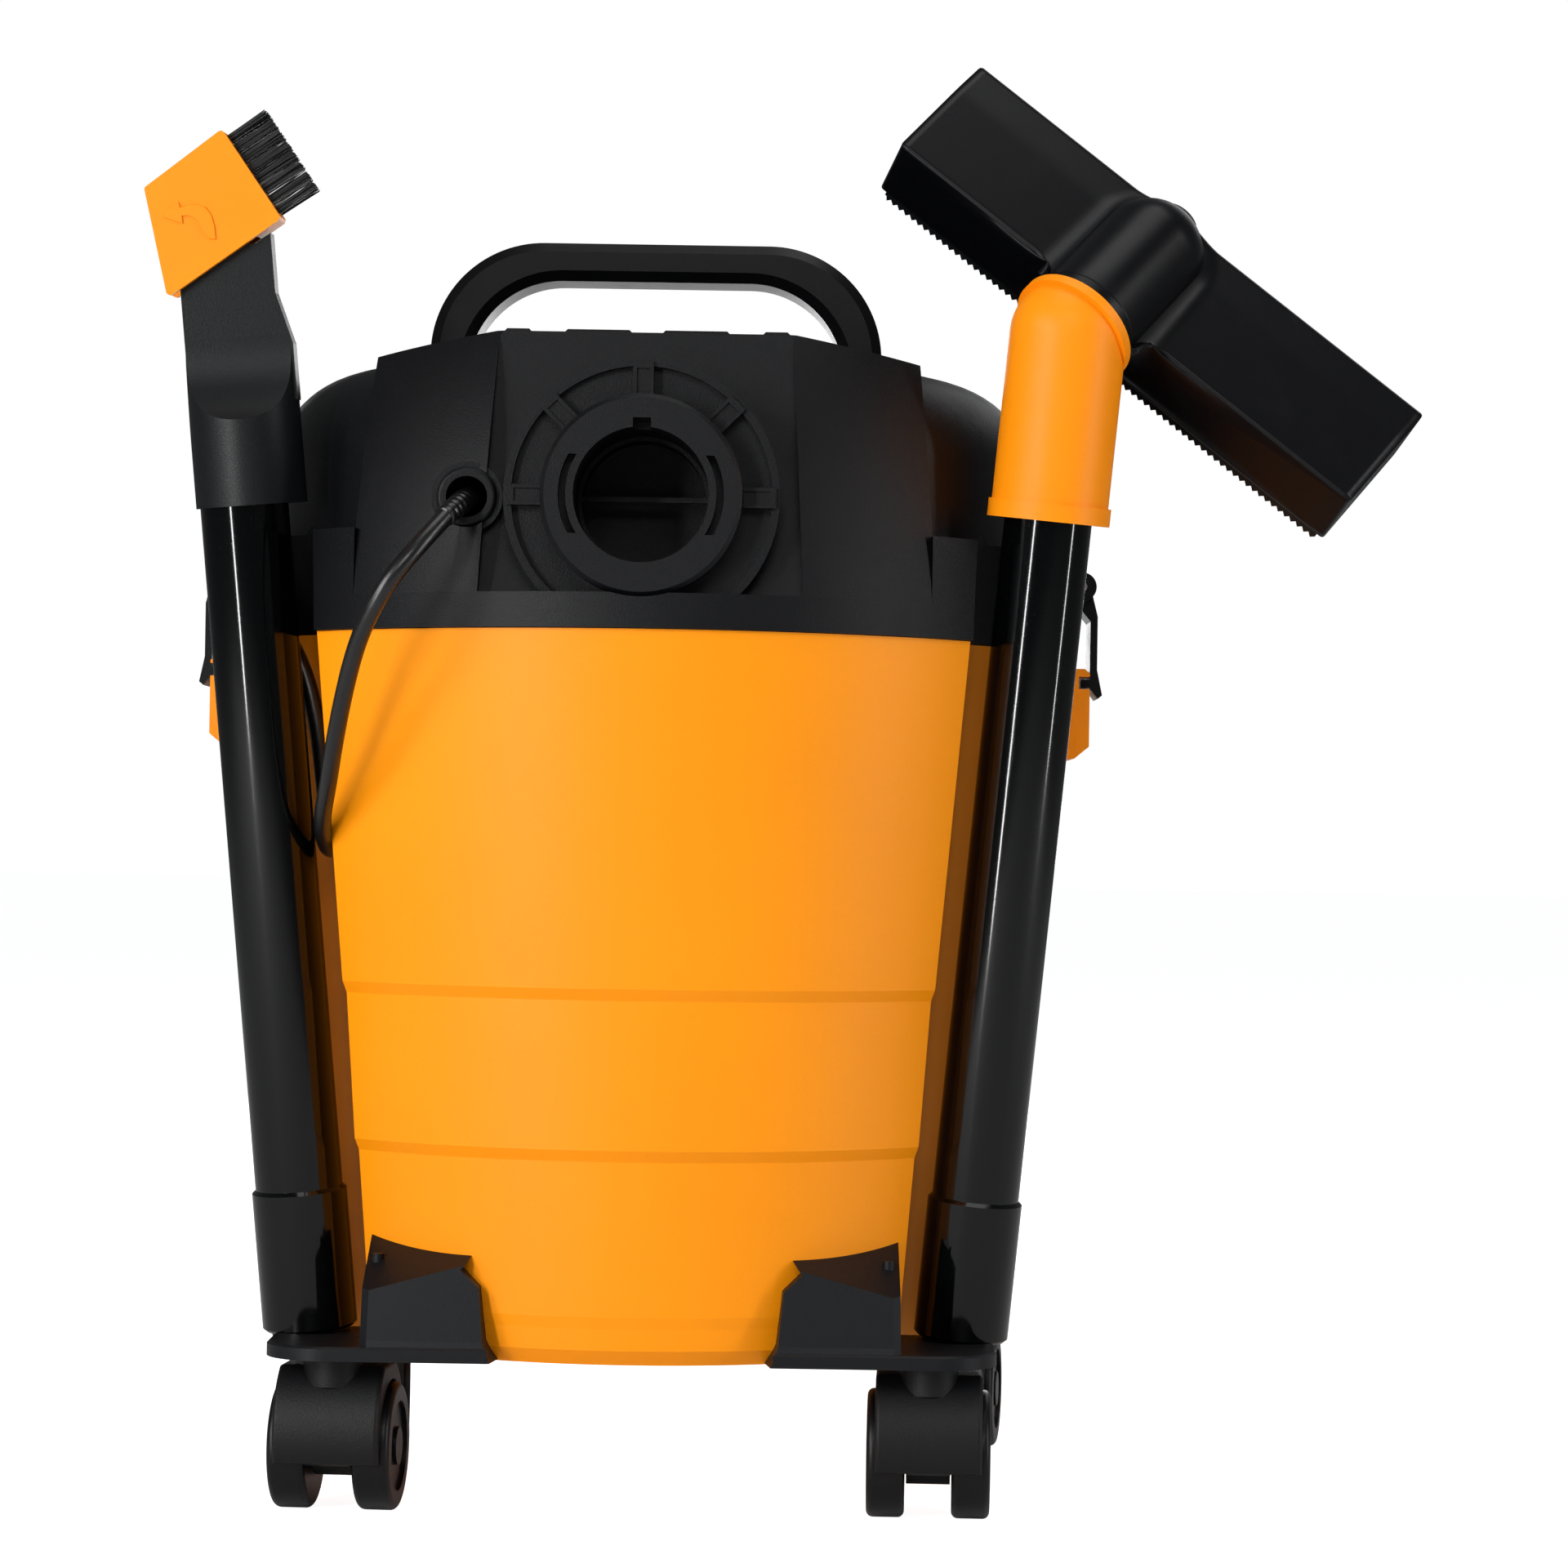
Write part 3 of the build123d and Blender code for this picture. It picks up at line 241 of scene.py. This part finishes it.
def sheath(name, colour=(0.012, 0.012, 0.013), roughness=0.42):
    """Flexible cable sheath: soft sheen with a faint mottled skin."""
    finish = Finish(name)
    mottle = finish.noise(420.0, 3.0)
    scuff = finish.noise(70.0, 5.0, 0.7).band(0.5, 0.75)
    finish.set(Base_Color=finish.blend(mottle * 0.5 + scuff * 0.3, shade(colour, 0.8), shade(colour, 1.9)))
    finish.set(Roughness=mottle * 0.12 + scuff * 0.08 + roughness - 0.06)
    return finish.bump(mottle, 0.00004)


def zinc_steel():
    """Plated steel: brushed grain along the part, with duller spots."""
    finish = Finish("steel")
    brushed = finish.noise(500.0, 3.0, on=finish.stretched(1.0, 1.0, 0.08))
    spots = finish.noise(90.0, 4.0).band(0.5, 0.8)
    finish.set(Base_Color=finish.blend(spots * 0.5 + brushed * 0.4, (0.62, 0.62, 0.64, 1), (0.4, 0.4, 0.42, 1)))
    finish.set(Metallic=1.0, Roughness=brushed * 0.15 + spots * 0.12 + 0.22)
    return finish.bump(brushed, 0.00002)


def filter_foam():
    """Open-celled foam: painted shade darkens the pores between the paler struts; the pores are pressed in by 0.8 mm.
    """
    finish = Finish("foam_grey")
    pore_pits_and_shade = finish.cells(650.0)
    tufts = finish.noise(160.0, 3.0)
    # painted shade: pore colour drops to 0.02 against 0.13 on the struts, standing for shade inside the pores
    finish.set(Base_Color=finish.blend(pore_pits_and_shade.band(0.1, 0.6), (0.02, 0.02, 0.022, 1), (0.13, 0.13, 0.14, 1)))
    finish.set(Roughness=tufts * 0.1 + 0.85)
    return finish.bump(pore_pits_and_shade, 0.0008)


ORANGE = (0.95, 0.285, 0.001)
TOOL_ORANGE = (0.92, 0.262, 0.002)
finishes = {
    "drum_orange": moulded("drum_orange", ORANGE, 0.45, grain=0.35, grain_size=0.0009, depth=0.00004,
                           specular=0.22),
    "tool_orange": moulded("tool_orange", TOOL_ORANGE, 0.45, grain=0.3, grain_size=0.0008, depth=0.00004,
                           specular=0.2),
    "head_black": moulded("head_black", (0.0015, 0.0017, 0.0025), 0.45, grain=1.0, grain_size=0.00055,
                          depth=0.00016, specular=0.2),
    "grip_black": moulded("grip_black", (0.002, 0.0021, 0.0026), 0.36, grain=0.5, specular=0.2),
    "bracket_black": moulded("bracket_black", (0.0035, 0.0042, 0.0055), 0.45, grain=0.7, depth=0.0001,
                             specular=0.22),
    "caster_black": moulded("caster_black", (0.0035, 0.0037, 0.0043), 0.5, grain=1.0, depth=0.00014,
                            specular=0.24),
    "wheel_black": moulded("wheel_black", (0.0025, 0.0025, 0.003), 0.4, grain=0.3, specular=0.25),
    "tube_gloss": glossy_tube(),
    "tool_black": moulded("tool_black", (0.0035, 0.0045, 0.005), 0.42, grain=0.8, depth=0.0001, specular=0.24),
    "bristle_black": sheath("bristle_black", (0.0028, 0.0032, 0.0032), 0.34),
    "cord_rubber": sheath("cord_rubber", (0.003, 0.003, 0.0033), 0.3),
    "seal_rubber": sheath("seal_rubber", (0.02, 0.02, 0.02), 0.8),
    "switch_red": moulded("switch_red", (0.5, 0.02, 0.012), 0.25, grain=0.15, depth=0.00002),
    "foam_grey": filter_foam(),
    "motor_steel": zinc_steel(),
    "inner_grey": moulded("inner_grey", (0.17, 0.17, 0.18), 0.5),
    "steel": zinc_steel(),
}
nozzle_finish = moulded("nozzle_black", (0.001, 0.0011, 0.0018), 0.36, grain=0.5, depth=0.00005,
                        specular=0.2)


def finish_nodes():
    """Every CAD node takes the finish of its own material slot."""
    for part in frame["record"]["subparts"]:
        mesh = nodes[part["node"]].data
        mesh.materials.clear()
        mesh.materials.append(finishes[part["material_slot"]])


# ---------------------------------------------------------------- mesh building
def sheet_faces(rows, columns, close=False):
    """Quads of a rows x columns grid of points, its last column joined to its first; close joins its
    last row to its first too."""
    row = np.arange(rows if close else rows - 1)[:, None] * columns
    next_row = (row + columns) % (rows * columns)
    here = np.arange(columns)[None, :]
    after = (here + 1) % columns
    quads = np.stack([row + here, row + after, next_row + after, next_row + here], axis=-1)
    return quads.reshape(-1, 4)


def piece(name, points, faces, body, slot, replaced=(), smooth=True, finish=None):
    """A mesh from points and faces, turned outwards, riding on its body and finished as its slot says."""
    mesh = bpy.data.meshes.new(name)
    mesh.from_pydata(np.asarray(points).reshape(-1, 3).tolist(), [], [list(map(int, face)) for face in faces])
    mesh.validate()
    shell = bmesh.new()
    shell.from_mesh(mesh)
    bmesh.ops.recalc_face_normals(shell, faces=shell.faces)
    shell.to_mesh(mesh)
    shell.free()
    mesh.polygons.foreach_set("use_smooth", np.full(len(mesh.polygons), smooth))
    mesh.materials.append(finish or finishes[slot])
    made = bpy.data.objects.new(name, mesh)
    bpy.context.scene.collection.objects.link(made)
    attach(made, body)
    if replaced:
        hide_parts(*replaced)
    return made


def capped(rows, columns):
    """A tube of quads, closed by one n-gon over its first row and one over its last."""
    faces = sheet_faces(rows, columns).tolist()
    faces.append(list(range(columns))[::-1])
    faces.append(list(range((rows - 1) * columns, rows * columns)))
    return faces


# ---------------------------------------------------------------- cord
RELIEF_STEPS = 60
RELIEF_SIDES = 28
RELIEF = ((-67.0, -137.0, 393.5), (-67.8, -156.0, 392.2), (-74.0, -166.0, 384.5))
ROUTE = ((-74.0, -166.0, 384.5), (-81.5, -175.5, 374.5), (-92.5, -180, 361), (-101, -177, 347), (-107.4, -168, 332.6),
         (-112.7, -156, 314.5), (-116.8, -144, 298), (-120.3, -130, 283), (-124, -115, 270.5), (-124.6, -102, 262),
         (-122.9, -92, 257.5), (-123, -84, 260), (-125, -80.8, 269), (-127, -81.5, 285), (-129.6, -81, 306),
         (-136, -77, 330), (-147.5, -72.7, 349), (-160, -73, 364), (-168, -68, 377), (-167.5, -59, 384),
         (-167, -49, 383.5),
         (-168.7, -42.5, 373), (-169.3, -41, 352), (-167, -42, 325), (-163, -38, 280), (-158.5, -32, 230),
         (-154, -20, 180), (-150.5, 5, 137), (-147.5, 40, 103), (-147, 80, 78), (-148.5, 120, 72), (-150.5, 155, 58),
         (-152, 180, 30), (-153.5, 205, 8), (-154.5, 240, 3.6), (-156, 290, 3.6), (-153, 340, 3.6), (-143, 385, 3.6),
         (-125, 420, 3.6))
CORD_WIDTH = 0.007
COIL_AT = (-60.0, 450.0)
COIL_TURNS = 15
COIL_POINTS = 14             # control points in each turn
COIL_ENTRY = (-113.6, 434.2)
COIL_INNER, COIL_LANE = 29.8, 6.8
COIL_LOW, COIL_LAYER = 3.7, 7.05


def coil_points():
    """Coil of put-away cord, in millimetres from the drum's axis.

    The angle grows evenly, the radius swings between its inner and outer lane and back every 7.5
    turns, and the height climbs evenly by 2.95 layers.
    """
    steps = COIL_TURNS * COIL_POINTS
    turn = np.arange(steps) / COIL_POINTS
    start = np.arctan2(COIL_ENTRY[1] - COIL_AT[1], COIL_ENTRY[0] - COIL_AT[0])
    angle = start + 2 * pi * turn
    lane = np.abs((turn + 3.5) % 7.5 - 3.75)
    layer = turn / (COIL_TURNS - 1) * 2.95
    radius = COIL_INNER + COIL_LANE * np.clip(lane, 0, 3)
    radius[:4] = (53.0, 51.5, 50.6, 50.2)
    height = COIL_LOW + np.clip(layer, 0, 2.95) * COIL_LAYER
    x = COIL_AT[0] + radius * np.cos(angle)
    y = COIL_AT[1] + radius * np.sin(angle)
    return np.stack([x, y, height], axis=1)


def make_cord():
    """One open spline of third order through free air, along the floor and round the coil."""
    points = [spot(*p) for p in ROUTE] + [spot(*p) for p in coil_points()]
    curve = bpy.data.curves.new("mains_cord", "CURVE")
    curve.dimensions = "3D"
    curve.bevel_depth = CORD_WIDTH / 2
    curve.bevel_resolution = 5
    curve.use_fill_caps = True
    spline = curve.splines.new("NURBS")
    spline.points.add(len(points) - 1)
    for target, point in zip(spline.points, points):
        target.co = (*point, 1.0)
    spline.order_u = 3
    spline.use_endpoint_u = True
    spline.resolution_u = 6
    curve.materials.append(finishes["cord_rubber"])
    cord = bpy.data.objects.new("mains_cord", curve)
    bpy.context.scene.collection.objects.link(cord)
    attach(cord, "canister")
    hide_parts("power_cord", "cord_coil")
    return cord


def curve_line(points, samples):
    """The relief's middle line: (1-t)^2 a + 2t(1-t) b + t^2 c, from its first point to its last."""
    a, b, c = (np.array(p) for p in points)
    t = np.linspace(0, 1, samples)[:, None]
    return (1 - t) ** 2 * a + 2 * t * (1 - t) * b + t ** 2 * c


def frames_along(line):
    """Tangent and two cross directions at each point of a line, turned as little as possible."""
    way = np.gradient(line, axis=0)
    way /= np.linalg.norm(way, axis=1)[:, None]
    side = np.cross(way, (0.0, 0.0, 1.0))
    side /= np.linalg.norm(side, axis=1)[:, None]
    return way, side, np.cross(side, way)


def swept(line, radii, columns):
    """Round tube: each point of the line carries a circle of its own radius."""
    way, side, up = frames_along(line)
    angle = np.linspace(0, 2 * pi, columns, endpoint=False)
    ring = np.cos(angle)[None, :, None] * side[:, None] + np.sin(angle)[None, :, None] * up[:, None]
    return line[:, None] + ring * radii[:, None, None]


def make_relief():
    """Tapered sleeve with rings pressed into it, round the first stretch of the cord."""
    line = np.array([spot(*p) for p in curve_line(RELIEF, RELIEF_STEPS)])
    share = np.linspace(0, 1, RELIEF_STEPS)
    radii = (5.2 - 1.25 * share) * MM
    ribs = (np.sin(share * 2 * pi * 9) > 0.3) & (share > 0.3) & (share < 0.92)
    radii = radii - ribs * 0.35 * MM
    points = swept(line, radii, RELIEF_SIDES)
    return piece("strain_relief", points, capped(RELIEF_STEPS, RELIEF_SIDES), "canister", "cord_rubber",
                 ("cord_strain_relief",))


# ---------------------------------------------------------------- tools' frames
TUBE_X, TUBE_Y, TUBE_REF_Z = 146.5, -89.4, 260.7
LEAN_X, LEAN_Y = 0.0885, 0.0798


def tube_spot(side, z):
    """A point on a tube's axis, in millimetres from the drum's axis."""
    return np.array((side * (TUBE_X + (z - TUBE_REF_Z) * LEAN_X), TUBE_Y - (z - TUBE_REF_Z) * LEAN_Y, z))


def unit(way):
    way = np.asarray(way, dtype=float)
    return way / np.linalg.norm(way)


class Seat:
    """A tool's own frame: an origin, x and z ways; maps local millimetres to the row's frame."""

    def __init__(self, origin, x_way, z_way):
        self.origin = np.asarray(origin, dtype=float)
        self.z = unit(z_way)
        x_way = np.asarray(x_way, dtype=float)
        self.x = unit(x_way - self.z * np.dot(x_way, self.z))
        self.y = np.cross(self.z, self.x)

    def place(self, points):
        points = np.asarray(points, dtype=float)
        local = points[..., 0:1] * self.x + points[..., 1:2] * self.y + points[..., 2:3] * self.z
        return (local + self.origin) * MM + np.array((DRUM.x, DRUM.y, 0.0))


LEFT = Seat(tube_spot(-1, 392.6), (1, 0, 0.088), tube_spot(-1, 500) - tube_spot(-1, 300))
ACROSS = unit((0.772, -0.087, -0.610))
SLOPE = unit((0.620, 0, 0.785))
OUT = unit(np.cross(ACROSS, SLOPE))
FORWARD = unit(SLOPE * cos(radians(30)) - OUT * sin(radians(30)))
TOP_WAY = unit(OUT * cos(radians(30)) + SLOPE * sin(radians(30)))
NOZZLE = Seat(tube_spot(1, 464) + FORWARD * 6.0, ACROSS, TOP_WAY)


# ---------------------------------------------------------------- floor nozzle
NOZZLE_X = (-102.0, 126.0)
NOZZLE_Y = (18.5, 78.5)
NOZZLE_TOP, NOZZLE_LOW = -2.0, -32.0
NECK_R = 21.5
DOME_Y = 54.5
NECK_FLARE = 11.5            # radius of the curve from the neck's side into the rear wall
NECK_BLEND = 13.0            # reach of the fillet between the neck and the top
REAR_ROUND = 1.6
FRONT_ROUND, FRONT_DEEP = 3.6, 4.0
HOLLOW = 16.0                # depth of the channel in the underside


def smooth_step(value, low, high):
    share = np.clip((value - low) / (high - low), 0, 1)
    return share * share * (3 - 2 * share)


def soft_max(a, b, reach):
    """The larger of two heights, with a fillet where they come within reach of each other."""
    return np.maximum(a, b) + np.maximum(reach - np.abs(a - b), 0) ** 2 / (4 * reach)


def neck_height(x, y):
    """Top of the round neck and its dome: a circle's height over its axis, falling steeply past it."""
    off = np.hypot(x, np.maximum(y - DOME_Y, 0))
    inside = np.sqrt(np.maximum(NECK_R ** 2 - off ** 2, 0))
    return inside - np.maximum(off - NECK_R, 0) * 1.6 - 3.0 * np.clip(y / DOME_Y, 0, 1)


def make_nozzle():
    """A round neck flows over a long shallow box.

    Columns run round the section: along the top from +x to -x, down one side, back along the underside
    and up. Rows run from the bore in the neck, out over its rim, along it, across the rear wall and over
    the top to the front wall. The top's height is the soft maximum of the box's top and the neck.
    """
    x0, x1 = NOZZLE_X
    y0, y1 = NOZZLE_Y
    centre = (x0 + x1) / 2
    flank = np.array((34.5, 33.0, 31, 29, 27, 25.3, 24, 23, 22.3, 21.8, 21.55))
    top_x = np.concatenate([np.linspace(x1, 36, 26), flank, np.linspace(21.3, -21.3, 45), -flank[::-1],
                            np.linspace(-36, x0, 20)])
    side = 12
    down = np.linspace(NOZZLE_TOP, NOZZLE_LOW, side + 1)[1:]
    under_x = np.linspace(x0, x1, 60)[1:-1]
    n_top, n_under = len(top_x), len(under_x)
    columns = n_top + side + n_under + side
    x = np.concatenate([top_x, np.full(side, x0), under_x, np.full(side, x1)])
    z = np.concatenate([np.full(n_top, NOZZLE_TOP), down, np.full(n_under, NOZZLE_LOW), down[::-1]])
    on_top = np.arange(columns) < n_top
    crown = on_top & (np.abs(x) < NECK_R * 0.995)
    # every column's place on the neck's circle: straight up over the crown, the rest shared out below
    first, last = np.flatnonzero(crown)[[0, -1]]
    angle = np.zeros(columns)
    angle[crown] = np.arccos(np.clip(x[crown] / NECK_R, -1, 1))
    below = np.roll(np.arange(columns), -(last + 1))[:columns - crown.sum()]
    run = np.hypot(np.diff(x[below], prepend=x[below][0]), np.diff(z[below], prepend=z[below][0])).cumsum()
    end_angle, start_angle = angle[last], angle[first] + 2 * pi
    angle[below] = end_angle + (start_angle - end_angle) * (run / run[-1] * 0.97 + 0.015)
    ring = np.stack([np.cos(angle), np.zeros(columns), np.sin(angle)], axis=1)
    rows = []

    def circle(y, radius):
        points = ring * radius
        points[:, 1] = y
        rows.append(points)

    for y, radius in ((34, 15.5), (10, 15.8), (-6.2, 15.8), (-7, 16.4), (-7, 18.4), (-6.4, 19), (0.1, 19),
                      (0.5, 19.4), (0.5, 21.0), (0.9, NECK_R), (3, NECK_R), (6, NECK_R)):
        circle(y, radius)

    def outline(inset):
        shape_x = np.clip(x, x0 + inset, x1 - inset)
        shape_z = np.where(on_top, z - inset, np.clip(z, NOZZLE_LOW, NOZZLE_TOP - inset))
        return shape_x, shape_z

    near = np.clip(NECK_R + NECK_FLARE - np.abs(x), 0, NECK_FLARE)
    flare = np.where(on_top, NECK_FLARE - np.sqrt(NECK_FLARE ** 2 - near ** 2), 0.0)
    # rear wall: the neck's skin swells into it
    for share in (0.2, 0.45, 0.7, 0.9):
        swell = NECK_R + np.where(crown, 0, 5.5 * share ** 2.2)
        points = ring * swell[:, None]
        points[:, 1] = 6 + (y0 - flare - 6.5) * share
        rows.append(points)
    foot = rows[-1]
    shape_x, shape_z = outline(REAR_ROUND)
    height = np.where(on_top, soft_max(shape_z, neck_height(x, y0 - flare * 0.5), NECK_BLEND), shape_z)
    for share in (0.15, 0.35, 0.55, 0.75, 0.9, 1.0):
        points = np.stack([foot[:, 0] + (shape_x - foot[:, 0]) * share,
                           foot[:, 1] + (y0 - flare - foot[:, 1]) * smooth_step(np.array(share), 0, 1),
                           foot[:, 2] + (height - foot[:, 2]) * share], axis=1)
        rows.append(points)
    for turn in (25, 50, 75, 90):
        inset = REAR_ROUND * (1 - sin(radians(turn)))
        shape_x, shape_z = outline(inset)
        y = y0 - flare + REAR_ROUND * (1 - cos(radians(turn)))
        height = np.where(on_top, soft_max(shape_z, neck_height(x, y), NECK_BLEND), shape_z)
        rows.append(np.stack([shape_x, y, height], axis=1))
    shape_x, shape_z = outline(0.0)
    room = ~on_top & (np.abs(x - centre) < 106) & (z < NOZZLE_LOW + 0.1)
    for share in np.linspace(0, 1, 42)[1:]:
        y = y0 - flare + REAR_ROUND + (y1 - FRONT_DEEP - y0 + flare - REAR_ROUND) * share
        crowned = np.minimum(shape_z, NOZZLE_TOP - 1.6 * smooth_step(y, y1 - 22, y1))
        height = np.where(on_top, soft_max(crowned, neck_height(x, y), NECK_BLEND), crowned)
        height = np.where(room & (y > y0 + 3.5), NOZZLE_LOW + HOLLOW, height)
        rows.append(np.stack([shape_x, np.broadcast_to(y, x.shape), height], axis=1))
    last_row = rows[-1]
    for turn in (20, 45, 70, 90):
        inset = FRONT_ROUND * (1 - cos(radians(turn)))
        shape_x = np.clip(last_row[:, 0], x0 + inset, x1 - inset)
        shape_z = np.where(on_top, last_row[:, 2] - inset, np.minimum(last_row[:, 2], last_row[0, 2] - inset))
        shape_z = np.where(room & (turn > 30), NOZZLE_LOW, shape_z)
        y = np.full(columns, y1 - FRONT_DEEP + FRONT_DEEP * sin(radians(turn)))
        rows.append(np.stack([shape_x, y, shape_z], axis=1))
    grid = np.stack(rows)
    return piece("nozzle_shell", NOZZLE.place(grid), capped(len(rows), columns), "floor_nozzle", "tool_black",
                 ("nozzle_body",), finish=nozzle_finish)


# ---------------------------------------------------------------- dusting brush
HOLDER = np.array(((-27.8, 125.9), (4.2, 146.4), (24.5, 110.3), (-22.2, 82.7)))
HOLDER_HALF = 11.0
BRUSH_WAY = unit((0.872, 0.49))
BRISTLE_LENGTH = 18.0
TUFT_ROWS, TUFT_HAIRS = 8, 34
TUFT_R = 1.6


def make_bristles():
    """Eight by three round tufts on the holder's slanted edge; each hair is a tapered square prism
    from its seat in the tuft, leaning outward by as much as it sits off the tuft's middle."""
    edge = HOLDER[2] - HOLDER[1]
    span = np.linalg.norm(edge)
    edge = edge / span
    along = np.linspace(4.2, span - 4.2, TUFT_ROWS)
    aside = np.array((-5.6, 0.0, 5.6))
    seat_along, seat_aside = np.meshgrid(along, aside, indexing="ij")
    count = seat_along.size * TUFT_HAIRS
    spread = np.sqrt(rng.random(count)) * TUFT_R
    turn = rng.random(count) * 2 * pi
    off = np.stack([np.cos(turn), np.sin(turn)], axis=1) * spread[:, None]
    seat = np.stack([np.repeat(seat_along.ravel(), TUFT_HAIRS), np.repeat(seat_aside.ravel(), TUFT_HAIRS)], axis=1)
    root = seat + off
    lean = off * 0.3 + rng.normal(0, 0.16, (count, 2))
    reach = BRISTLE_LENGTH * (0.965 + 0.035 * rng.random(count))
    share = np.array((-0.06, 0.35, 0.7, 1.0))
    thick = np.array((0.27, 0.26, 0.23, 0.15))
    path = root[:, None, :] + lean[:, None, :] * (np.clip(share, 0, 1)[None, :, None] ** 1.6)
    depth = reach[:, None] * share[None, :]
    corner = np.arange(4) * pi / 2 + pi / 4
    ring = np.stack([np.cos(corner), np.sin(corner)], axis=1)
    flat = path[:, :, None, :] + ring[None, None] * thick[None, :, None, None]
    local = np.empty(flat.shape[:3] + (3,))
    local[..., 0] = HOLDER[1, 0] + edge[0] * flat[..., 0] + BRUSH_WAY[0] * depth[:, :, None]
    local[..., 2] = HOLDER[1, 1] + edge[1] * flat[..., 0] + BRUSH_WAY[1] * depth[:, :, None]
    local[..., 1] = flat[..., 1]
    one = sheet_faces(4, 4)
    caps = np.array([[3, 2, 1, 0], [12, 13, 14, 15]])
    hair = np.concatenate([one, caps])
    faces = (np.arange(count)[:, None, None] * 16 + hair[None]).reshape(-1, 4)
    return piece("bristle_tufts", LEFT.place(local), faces.tolist(), "dusting_brush", "bristle_black",
                 ("brush_bristles",), smooth=False)


def make_arrow():
    """A raised turning arrow on the holder's face: a curved band that ends in a triangle."""
    outer = np.array(((-14.6, 117.2), (-11.7, 118.0), (-7.9, 118.0), (-4.7, 116.8), (-2.5, 113.6), (-1.6, 109.3),
                      (-1.5, 103.9)))
    inner = np.array(((-14.2, 114.1), (-12.0, 114.1), (-9.8, 113.4), (-8.0, 111.7), (-6.9, 109.1), (-5.8, 106.8),
                      (-4.0, 104.4)))
    fine = np.linspace(0, 6, 31)
    outer = np.stack([np.interp(fine, np.arange(7), outer[:, i]) for i in (0, 1)], axis=1)
    inner = np.stack([np.interp(fine, np.arange(7), inner[:, i]) for i in (0, 1)], axis=1)
    loop = np.concatenate([((-21.2, 114.0), (-15.1, 119.6)), outer, inner[::-1], ((-14.1, 111.0),)])
    middle = loop.mean(axis=0)
    levels = ((0.0, -HOLDER_HALF + 0.3), (0.0, -HOLDER_HALF - 0.55), (0.03, -HOLDER_HALF - 0.75))
    rows = []
    for shrink, y in levels:
        flat = loop + (middle - loop) * shrink
        rows.append(np.stack([flat[:, 0], np.full(len(flat), y), flat[:, 1]], axis=1))
    grid = np.stack(rows)
    return piece("turn_arrow", LEFT.place(grid), capped(3, len(loop)), "dusting_brush", "tool_orange", smooth=False)


# ---------------------------------------------------------------- filter
FOAM_R = (45.3, 57.0)
FOAM_Z = (241.0, 336.3)
FOAM_LEVELS, FOAM_TURNS = 40, 96


def make_foam():
    """Filter foam sleeve: a thick-walled ring whose faces swell and dimple slightly."""
    level = np.linspace(0, 1, FOAM_LEVELS)
    turn = np.linspace(0, 2 * pi, FOAM_TURNS, endpoint=False)
    low, high = FOAM_Z
    inner, outer = FOAM_R
    z = low + (high - low) * level[:, None] + 0 * turn
    dimple = 0.5 * np.sin(turn * 9 + level[:, None] * 11) * np.sin(level[:, None] * 23) - 0.5
    swell = outer + dimple + 0.0 * z
    outside = np.stack([swell * np.cos(turn), swell * np.sin(turn), z], axis=-1)
    inside = np.stack([inner * np.cos(turn) + 0 * z, inner * np.sin(turn) + 0 * z, z], axis=-1)[::-1]
    grid = np.concatenate([outside, inside]) * MM + np.array((DRUM.x, DRUM.y, 0.0))
    faces = sheet_faces(2 * FOAM_LEVELS, FOAM_TURNS, close=True).tolist()
    return piece("foam_sleeve", grid, faces, "canister", "foam_grey", ("filter_sleeve",))


# ---------------------------------------------------------------- floor
FLOOR_HALF = 30.0


def make_floor():
    """A square of pale floor that glows faintly to the viewer, so it fades into the background."""
    half = FLOOR_HALF
    mesh = bpy.data.meshes.new("floor")
    mesh.from_pydata([(-half, -half, 0), (half, -half, 0), (half, half, 0), (-half, half, 0)], [], [(0, 1, 2, 3)])
    floor = bpy.data.objects.new("floor", mesh)
    bpy.context.scene.collection.objects.link(floor)
    pale = Finish("pale_floor")
    glow = Field(pale.tree, pale.tree.nodes.new("ShaderNodeLightPath").outputs["Is Camera Ray"])
    pale.set(Base_Color=(0.75, 0.75, 0.75, 1), Roughness=0.9, Emission_Color=glow * 1.0, Emission_Strength=0.9)
    mesh.materials.append(pale.material)


make_camera()
make_lights()
make_floor()
finish_nodes()
cord = make_cord()
relief = make_relief()
make_nozzle()
make_bristles()
make_arrow()
make_foam()
tuple(spot(*ROUTE[0]))
